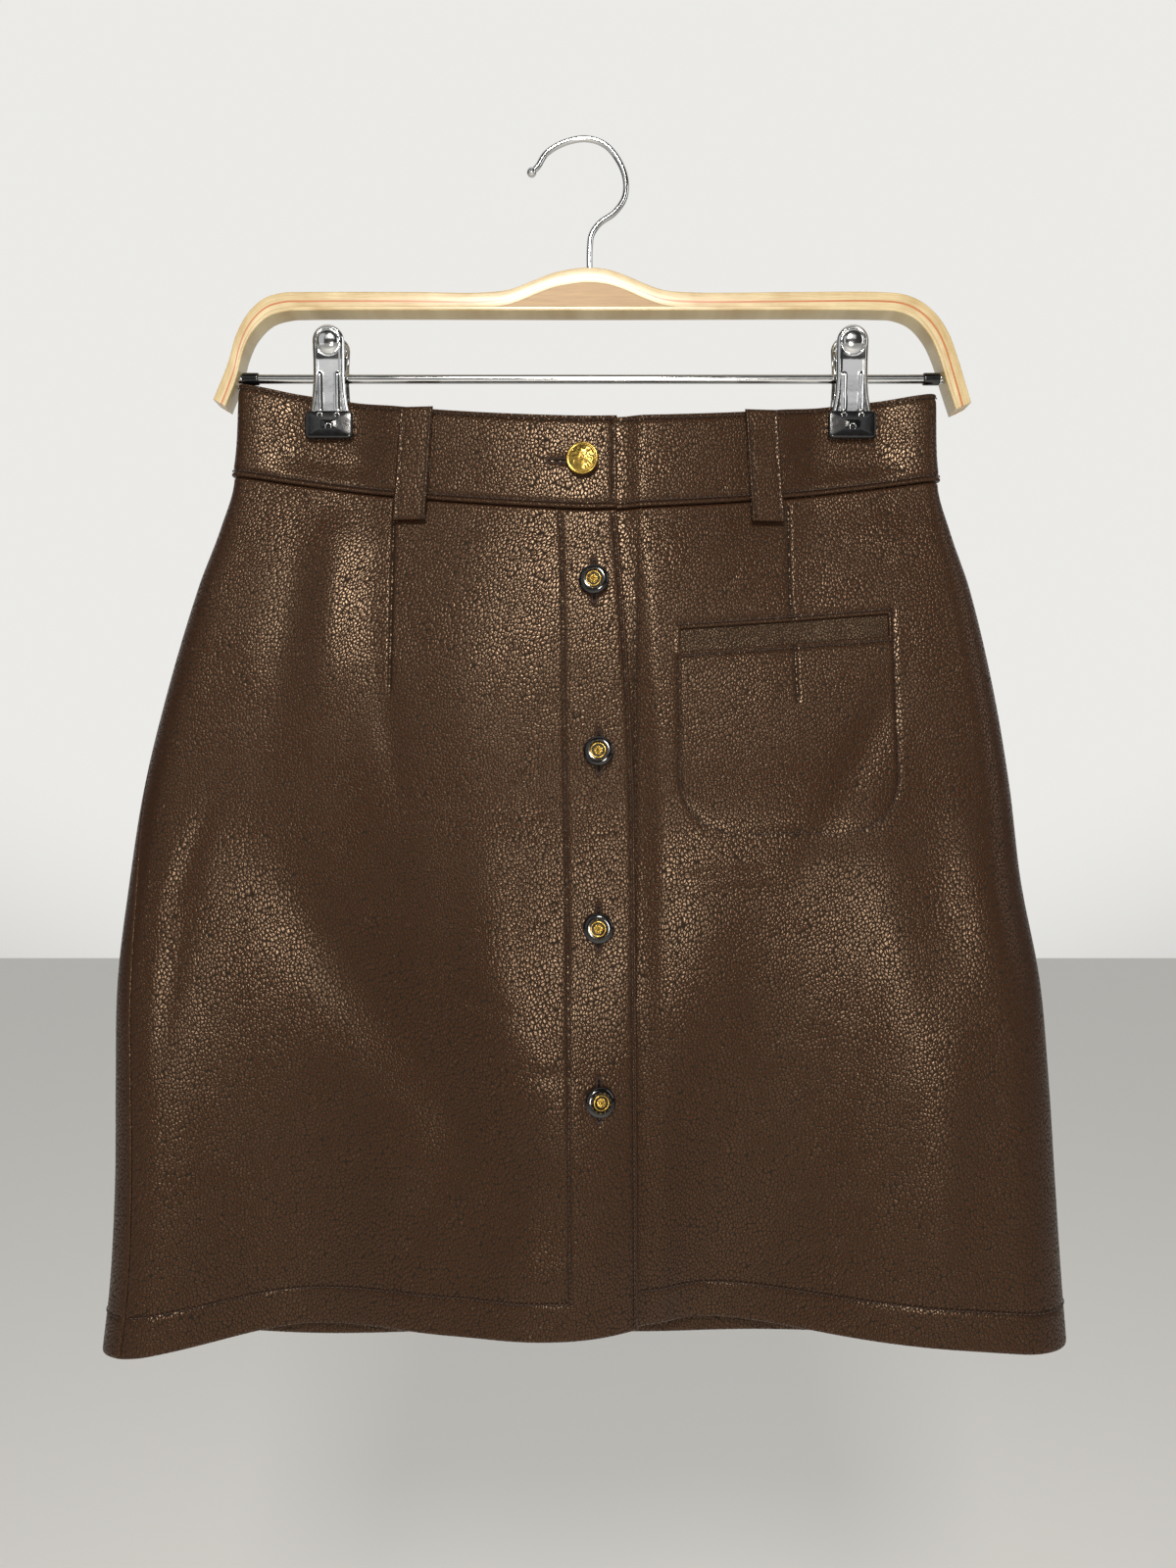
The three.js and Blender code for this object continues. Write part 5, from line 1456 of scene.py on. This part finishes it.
upper_strip = facing_out(strip("hanger_upper_strip", outer, upper_low, BOW_ROUND, 0.1, 0.0))
lower_strip = facing_out(strip("hanger_lower_strip", lower_high, inner, 0.1, BOW_ROUND, LENS_UNDER))
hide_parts("hanger_bow")
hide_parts("hanger_bow")

# The inlay: a slim wedge of oak-coloured wood that fills the space under the upper strip's rise,
# with its grain running up to the right.
inlay_wood, tree = new_material("stained_inlay_wood")
place = add_node(tree, "ShaderNodeTexCoord").outputs["Object"]
slanted = add_node(
    tree,
    "ShaderNodeMapping",
    {"Vector": place, "Rotation": (0.0, math.radians(38), 0.0), "Scale": (70.0, 70.0, 900.0)},
).outputs["Vector"]
grain = add_node(
    tree, "ShaderNodeTexNoise", {"Vector": slanted, "Scale": 1.0, "Detail": 5.0}
).outputs["Fac"]
stain = add_node(
    tree,
    "ShaderNodeMix",
    {"Factor": grain, FIRST: linear("#7c5829"), SECOND: linear("#a8854a")},
    data_type="RGBA",
).outputs[MIXED]
finish_material(
    tree,
    **{
        "Base Color": stain,
        "Roughness": 0.42,
        "Normal": add_node(
            tree, "ShaderNodeBump", {"Height": grain, "Strength": 0.3, "Distance": 0.0002}
        ).outputs["Normal"],
    },
)
wedge = np.flatnonzero(lens & (upper_low[:, 1] - LENS_BASE > 0.25))
wedge_x = upper_low[wedge, 0]
top_z, base_z = upper_low[wedge, 1] - 0.06, np.full(len(wedge), LENS_BASE + 0.06)
corners = [(base_z, -1), (top_z, -1), (top_z, 1), (base_z, 1)]
wedge_deep = np.full(len(wedge), BOW_DEEP - 0.12)
rings = np.stack([np.stack([wedge_x, s * wedge_deep, z], -1) for z, s in corners], 1)
faces = grid_faces(len(wedge), 4, wrap=True).tolist()
faces += [[3, 2, 1, 0], [len(wedge) * 4 - 4 + k for k in range(4)]]
inlay = put_mesh("hanger_inlay_wedge", rings.reshape(-1, 3), faces, inlay_wood, "inlay_wood")
inlay.data.polygons.foreach_set("use_smooth", np.zeros(len(inlay.data.polygons), bool))
facing_out(inlay)
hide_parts("hanger_inlay")

# Wires: the hook is bent steel wire, chrome plated, with a ball end, and turns in the bow's top;
# the clip bar is a straight rod between the bow's ends.
chrome, tree = new_material("chrome_plate")
place = add_node(tree, "ShaderNodeTexCoord").outputs["Object"]
haze = add_node(tree, "ShaderNodeTexNoise", {"Vector": place, "Scale": 120.0, "Detail": 4.0}).outputs["Fac"]
ripple = add_node(
    tree, "ShaderNodeTexNoise", {"Vector": place, "Scale": 420.0, "Detail": 2.0}
).outputs["Fac"]
finish_material(
    tree,
    **{
        "Base Color": linear("#d7d8d8"),
        "Metallic": 1.0,
        "Roughness": add_node(
            tree, "ShaderNodeMapRange", {"Value": haze, "To Min": 0.05, "To Max": 0.2}
        ).outputs["Result"],
        "Normal": add_node(
            tree, "ShaderNodeBump", {"Height": ripple, "Strength": 0.12, "Distance": 0.00015}
        ).outputs["Normal"],
    },
)
HOOK_RADIUS, HOOK_BALL, BAR_RADIUS, BAR_Z, BAR_LEFT, BAR_RIGHT = 1.65, 2.5, 2.35, -119.6, -178, 181
HOOK_PATH = [(-28.4, -15.3), (-25.4, -12.4), (-21.2, -5.9), (-11.9, -0.3), (-0.7, 1.65), (8.7, -1.5)]
HOOK_PATH += [(15.8, -10.0), (19.0, -19.5), (18.3, -28.2), (13.3, -35.6), (5.8, -41.0), (1.9, -46.5)]
HOOK_PATH += [(0.9, -53.0), (0.9, -70.6)]


def wire(path, radius, sides, across=(0.0, 1.0, 0.0)):
    """A round wire: a circle carried square to a path, closed at both ends."""
    tangent = np.gradient(path, axis=0)
    tangent /= np.linalg.norm(tangent, axis=1, keepdims=True)
    side = np.cross(tangent, across)
    side /= np.linalg.norm(side, axis=1, keepdims=True)
    other = np.cross(side, tangent)
    turn = np.arange(sides) / sides * 2 * math.pi
    radius = np.broadcast_to(radius, len(path))[:, None, None]
    out = side[:, None] * np.cos(turn)[None, :, None] + other[:, None] * np.sin(turn)[None, :, None]
    rings = path[:, None] + out * radius
    faces = grid_faces(len(path), sides, wrap=True).tolist() + end_faces(len(path), sides)
    return rings.reshape(-1, 3), faces


flat_hook = evenly(curve_through(HOOK_PATH), 220)
hook_points = np.stack([flat_hook[:, 0], np.zeros(220), flat_hook[:, 1]], -1)
half_circle = [(math.sin(a), -math.cos(a)) for a in np.linspace(0.15, 3.0, 16)]
ball_points, ball_faces = turned([(0, -1), *half_circle, (0, 1)], 28)
ball_at = np.array([HOOK_PATH[0][0], 0, HOOK_PATH[0][1]])
hook = facing_out(put_mesh("hanger_hook_wire", *wire(hook_points, HOOK_RADIUS, 24), chrome, "chrome"))
ball_points = ball_points * HOOK_BALL + ball_at
tip = facing_out(put_mesh("hanger_hook_ball", ball_points, ball_faces, chrome, "chrome"))
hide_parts("hanger_hook")
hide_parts("hanger_hook")
bar_path = np.stack([np.linspace(BAR_LEFT, BAR_RIGHT, 60), np.zeros(60), np.full(60, BAR_Z)], -1)
bar = facing_out(put_mesh("clip_bar_rod", *wire(bar_path, BAR_RADIUS, 32), chrome, "chrome"))
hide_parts("clip_bar")

# Black vinyl: caps pushed on the bar's ends, and dipped coatings on the clips' lips.
vinyl, tree = new_material("black_vinyl")
place = add_node(tree, "ShaderNodeTexCoord").outputs["Object"]
skin = add_node(tree, "ShaderNodeTexNoise", {"Vector": place, "Scale": 300.0, "Detail": 3.0}).outputs["Fac"]
finish_material(
    tree,
    **{
        "Base Color": linear("#0c0c0d"),
        "Roughness": add_node(
            tree, "ShaderNodeMapRange", {"Value": skin, "To Min": 0.1, "To Max": 0.24}
        ).outputs["Result"],
        "Normal": add_node(
            tree, "ShaderNodeBump", {"Height": skin, "Strength": 0.2, "Distance": 0.0004}
        ).outputs["Normal"],
        "Coat Weight": 0.4,
        "Coat Roughness": 0.08,
    },
)
CAP_RADIUS, CAP_LENGTH, CAP_LEFT, CAP_RIGHT = 3.1, 8.6, -174.2, 177.2
for name, at, way_out in (("bar_cap_left", CAP_LEFT, 1), ("bar_cap_right", CAP_RIGHT, -1)):
    share = np.linspace(0, 1, 30)
    path = np.stack([at + way_out * CAP_LENGTH * share, np.zeros(30), np.full(30, BAR_Z)], -1)
    near = np.minimum(share, 1 - share) * CAP_LENGTH
    radius = CAP_RADIUS - 0.9 + 0.9 * np.sqrt(np.clip(1 - np.clip(1 - near / 0.9, 0, 1) ** 2, 0, 1))
    cap = facing_out(put_mesh(name + "_sleeve", *wire(path, radius, 28), vinyl, "vinyl"))
    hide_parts(name)

# Clips: pairs of pressed chrome jaws that pinch the band, each with a domed top to press on, rolled
# rims, two stiffening ribs and two ears on the bar, round which a coil spring holds them shut.
JAW_THICK, JAW_TOP, JAW_ROUND, JAW_TOP_Y, JAW_FOOT = 1.0, -95.4, 7.8, -9.7, -143.0
JAW_LINE = np.array(
    [
        (-103.2, -8.7, 7.8),
        (-112, -7.4, 7.7),
        (-120, -6.9, 7.7),
        (-128, -6.3, 8.2),
        (-133, -6.0, 8.9),
        (-137.4, -5.7, 9.8),
        (-143, -5.4, 9.9),
    ]
)
DOME_Z, DOME_RADIUS, DOME_HIGH = -103.5, 5.6, 2.1
RIB_X, RIB_TOP, RIB_FOOT, RIB_HALF, RIB_HIGH = 4.3, -119.5, -136.8, 1.15, 0.75
EAR_THICK, EAR_FRONT, EAR_BACK, EAR_TALL, EAR_PAST, EAR_ROUND, EAR_ROOT = 0.8, 6.6, 5.5, 4.6, 3.4, 3, -6.6
PAD_HALF, PAD_TOP, PAD_FOOT, PAD_FACE, PAD_OUT = 12, -137.4, -151.2, 3.1, 7.2
PAD_CORNER, PAD_ROUND, PAD_CROWN = 2.6, 1.3, 0.35
SPRING_RADIUS, SPRING_WIRE, SPRING_HALF, SPRING_TURNS = 3.85, 0.45, 4.0, 5


def jaw_form(middle):
    """A plate down the jaw's line, as wide as the round top and then the table, with the dome, ribs
    and rolled rims added to its distance out."""
    angle = np.linspace(0.12, math.pi / 2, 22)
    top_z = JAW_TOP - JAW_ROUND * (1 - np.cos(angle))
    low_z = np.linspace(JAW_LINE[0, 0], JAW_FOOT, 66)[1:]
    z = np.concatenate([top_z, low_z])
    half = np.concatenate([JAW_ROUND * np.sin(angle), np.interp(-low_z, -JAW_LINE[:, 0], JAW_LINE[:, 2])])
    share_down = np.clip((JAW_TOP - z) / JAW_ROUND, 0, 1)
    y = np.where(
        z > JAW_LINE[0, 0],
        JAW_TOP_Y + (JAW_LINE[0, 1] - JAW_TOP_Y) * share_down,
        np.interp(-z, -JAW_LINE[:, 0], JAW_LINE[:, 1]),
    )
    across = np.sin(np.linspace(-1, 1, 41) * math.pi / 2)
    x = across[None] * half[:, None]
    z = np.broadcast_to(z[:, None], x.shape)
    near = np.minimum((1 - np.abs(across))[None] * half[:, None], JAW_TOP - z)
    near = np.where(z > JAW_LINE[0, 0], JAW_ROUND - np.hypot(x, z - (JAW_TOP - JAW_ROUND)), near)
    near = np.clip(near, 0, None)
    out = -0.9 * np.clip(1 - near / 1.5, 0, 1) ** 2 + 0.35 * np.exp(-(((near - 1.6) / 0.5) ** 2))
    from_dome = np.hypot(x, z - DOME_Z) / DOME_RADIUS
    out = out + DOME_HIGH * np.sqrt(np.clip(1 - from_dome**2, 0, 1))
    out = out - 0.25 * np.exp(-(((from_dome - 1.06) / 0.09) ** 2))
    for at in (-RIB_X, RIB_X):
        off = np.hypot(x - at, np.clip(np.maximum(z - RIB_TOP, RIB_FOOT - z), 0, None)) / RIB_HALF
        out = out + RIB_HIGH * np.clip(1 - off**2, 0, 1)
    front = np.stack([x + middle, y[:, None] - out, z], -1)
    rear = np.stack([x + middle, y[:, None] - np.clip(out, -1, 0.6) + JAW_THICK, z], -1)
    rows, columns = x.shape
    count = rows * columns
    faces = grid_faces(rows, columns).tolist() + grid_faces(rows, columns, count, flip=True).tolist()
    rim = np.concatenate(
        [
            np.arange(columns),
            np.arange(1, rows) * columns + columns - 1,
            (rows - 1) * columns + np.arange(columns - 1)[::-1],
            np.arange(1, rows - 1)[::-1] * columns,
        ]
    )
    after = np.roll(rim, -1)
    faces += np.stack([rim, after, after + count, rim + count], -1).tolist()
    return np.concatenate([front.reshape(-1, 3), rear.reshape(-1, 3)]), faces


def ear_form(middle, at):
    """A plate square to the bar: a rounded outline in Y and Z, given its thickness along X."""
    angle = np.linspace(-math.pi / 2, math.pi / 2, 15)
    nose_y = EAR_PAST - EAR_ROUND + EAR_ROUND * np.cos(angle)
    nose_z = (EAR_TALL - EAR_ROUND) * np.sign(np.sin(angle)) + EAR_ROUND * np.sin(angle)
    outline = np.array([(EAR_ROOT, -EAR_TALL), *zip(nose_y, nose_z), (EAR_ROOT, EAR_TALL)])
    count, rings = len(outline), []
    for x in (at - np.sign(at) * EAR_THICK, at):
        rings.append(np.stack([np.full(count, middle + x), outline[:, 0], outline[:, 1] + BAR_Z], -1))
    faces = grid_faces(2, count, wrap=True).tolist() + end_faces(2, count)
    points = np.concatenate(rings)
    return (points, faces) if at > 0 else (points, [face[::-1] for face in faces])


def pad_form(middle):
    """A rounded block: its outline's corners are quarter circles, and rings of it shrink and move
    through a quarter turn at each face's edge, with a shallow crown on the outer face."""
    quarter = np.linspace(0, math.pi / 2, 9)
    outline = []
    for x, z, start in ((1, -1, -90), (1, 1, 0), (-1, 1, 90), (-1, -1, 180)):
        at_x = x * (PAD_HALF - PAD_CORNER)
        at_z = (PAD_TOP + PAD_FOOT) / 2 + z * ((PAD_TOP - PAD_FOOT) / 2 - PAD_CORNER)
        a = quarter + math.radians(start)
        outline.append(np.stack([np.full(9, at_x), np.full(9, at_z), np.cos(a), np.sin(a)], -1))
    outline = np.concatenate(outline)
    centre = np.array([0, (PAD_TOP + PAD_FOOT) / 2])
    rings = []
    roll = np.linspace(0, math.pi / 2, 7)
    shape = [(PAD_CORNER - 0.5 * (1 - math.sin(a)), -PAD_FACE - 0.5 * (1 - math.cos(a))) for a in roll]
    shape += [
        (PAD_CORNER - PAD_ROUND * (1 - math.cos(a)), -PAD_OUT + PAD_ROUND * (1 - math.sin(a)))
        for a in roll
    ]
    for radius, y in shape:
        flat = outline[:, :2] + outline[:, 2:] * radius
        rings.append(np.stack([flat[:, 0] + middle, np.full(len(flat), y), flat[:, 1]], -1))
    last = outline[:, :2] + outline[:, 2:] * shape[-1][0]
    for share in (0.85, 0.65, 0.4, 0.15):
        flat = centre + (last - centre) * share
        crown = -PAD_OUT - PAD_CROWN * (1 - share**2)
        rings.append(np.stack([flat[:, 0] + middle, np.full(len(flat), crown), flat[:, 1]], -1))
    count = len(outline)
    faces = grid_faces(len(rings), count, wrap=True).tolist() + end_faces(len(rings), count)
    return np.concatenate(rings), faces


def rivet_form(x, z, radius):
    """A small raised ring on the pad, open below: a circle's path with a thin round section."""
    turn = np.linspace(-0.7, math.pi + 0.7, 26)
    path = np.stack([x + radius * np.cos(turn), np.full(26, -PAD_OUT - 0.3), z + radius * np.sin(turn)], -1)
    return wire(path, 0.32 * np.sqrt(np.clip(1 - np.linspace(-1, 1, 26) ** 6, 0.05, 1)), 8)


for side, middle in (("left", -129.3), ("right", 131.8)):
    for face, mirror, ear_at in (("front", 1, EAR_FRONT), ("back", -1, EAR_BACK)):
        flip = np.array([1, mirror, 1])
        points, faces = joined([jaw_form(middle), ear_form(middle, -ear_at), ear_form(middle, ear_at)])
        jaw_name = f"clip_{side}_{face}_jaw"
        jaw = put_mesh(jaw_name + "_plate", points * flip, faces, chrome, "chrome")
        if mirror < 0:
            jaw.data.flip_normals()
        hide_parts(jaw_name)
        points, faces = pad_form(middle)
        pad_name = f"clip_{side}_{face}_pad"
        pad = facing_out(put_mesh(pad_name + "_coating", points * flip, faces, vinyl, "vinyl"))
        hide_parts(pad_name)
        rivets = [rivet_form(middle - 4.3, -140.0, 1.25), rivet_form(middle + 4.3, -140.0, 1.25)]
        points, faces = joined([*rivets, rivet_form(middle, -145.6, 1.5)])
        facing_out(put_mesh(pad_name + "_rivets", points * flip, faces, chrome, "chrome"))
    share = np.linspace(0, 1, 240)
    turn = share * SPRING_TURNS * 2 * math.pi
    coil = np.stack(
        [
            middle + SPRING_HALF * (2 * share - 1),
            SPRING_RADIUS * np.cos(turn),
            BAR_Z + SPRING_RADIUS * np.sin(turn),
        ],
        -1,
    )
    spring = facing_out(
        put_mesh(f"clip_{side}_spring_coil", *wire(coil, SPRING_WIRE, 10, (1, 0, 0)), chrome, "chrome")
    )
    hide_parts(f"clip_{side}_spring")


# A plain floor below, and soft light from a studio's large panels.
FLOOR_HALF, FLOOR_Z = 6000, -1300
floor_points = [(x * FLOOR_HALF, y * FLOOR_HALF, FLOOR_Z) for x, y in ((-1, -1), (1, -1), (1, 1), (-1, 1))]
plaster, tree = new_material("pale_floor")
finish_material(tree, **{"Base Color": linear("#f2f1ee"), "Roughness": 0.9})
floor_mesh = bpy.data.meshes.new("floor")
floor_mesh.from_pydata((np.array(floor_points) * 0.001).tolist(), [], [(0, 1, 2, 3)])
floor_mesh.materials.append(plaster)
floor = bpy.data.objects.new("floor", floor_mesh)
bpy.context.collection.objects.link(floor)

ROOM_LIGHT, BACKDROP_LIGHT, BRIGHT_WAY = 0.04, 0.92, (0.0, 0.74, 0.67)
GLOW_FROM, GLOW_FULL = 0.25, 0.69
world = bpy.data.worlds.new("studio")
world.use_nodes = True
sky = world.node_tree
above_behind = add_node(
    sky,
    "ShaderNodeVectorMath",
    {0: add_node(sky, "ShaderNodeTexCoord").outputs["Generated"], 1: BRIGHT_WAY},
    operation="DOT_PRODUCT",
).outputs["Value"]
glow = add_node(
    sky,
    "ShaderNodeMapRange",
    {
        "Value": above_behind,
        "From Min": GLOW_FROM,
        "From Max": GLOW_FULL,
        "To Min": ROOM_LIGHT,
        "To Max": BACKDROP_LIGHT,
    },
    interpolation_type="SMOOTHSTEP",
).outputs["Result"]
sky.nodes["Background"].inputs["Color"].default_value = linear("#f4f3f0")
sky.links.new(glow, sky.nodes["Background"].inputs["Strength"])
bpy.context.scene.world = world
bpy.context.scene.view_settings.view_transform = "Standard"
# Each panel: where it is and what it faces in metres, its size, its power in watts and its colour.
for name, at, aim, size, power, colour in (
    ("key_panel", (-0.05, -1.4, 0.45), (0, 0, -0.3), (0.28, 0.28), 19, "#fff8ef"),
    ("low_panel", (0.1, -1.45, -0.5), (0, 0, -0.4), (0.24, 0.3), 9, "#fff8ef"),
    ("front_card", (0.0, -2.0, 0.5), (0, 0, -0.1), (1.6, 0.6), 2.2, "#ffffff"),
    ("left_card", (-1.1, -1.1, 0.15), (0, 0, -0.2), (1.0, 1.4), 2.5, "#ffffff"),
    ("right_card", (1.6, -0.6, 0.2), (0, 0, -0.35), (0.5, 1.2), 4, "#ffffff"),
):
    lamp = bpy.data.lights.new(name, "AREA")
    lamp.shape, lamp.size, lamp.size_y, lamp.energy = "RECTANGLE", size[0], size[1], power
    lamp.color = linear(colour)[:3]
    placed = bpy.data.objects.new(name, lamp)
    placed.location = at
    placed.rotation_euler = (Vector(aim) - Vector(at)).to_track_quat("-Z", "Y").to_euler()
    bpy.context.collection.objects.link(placed)
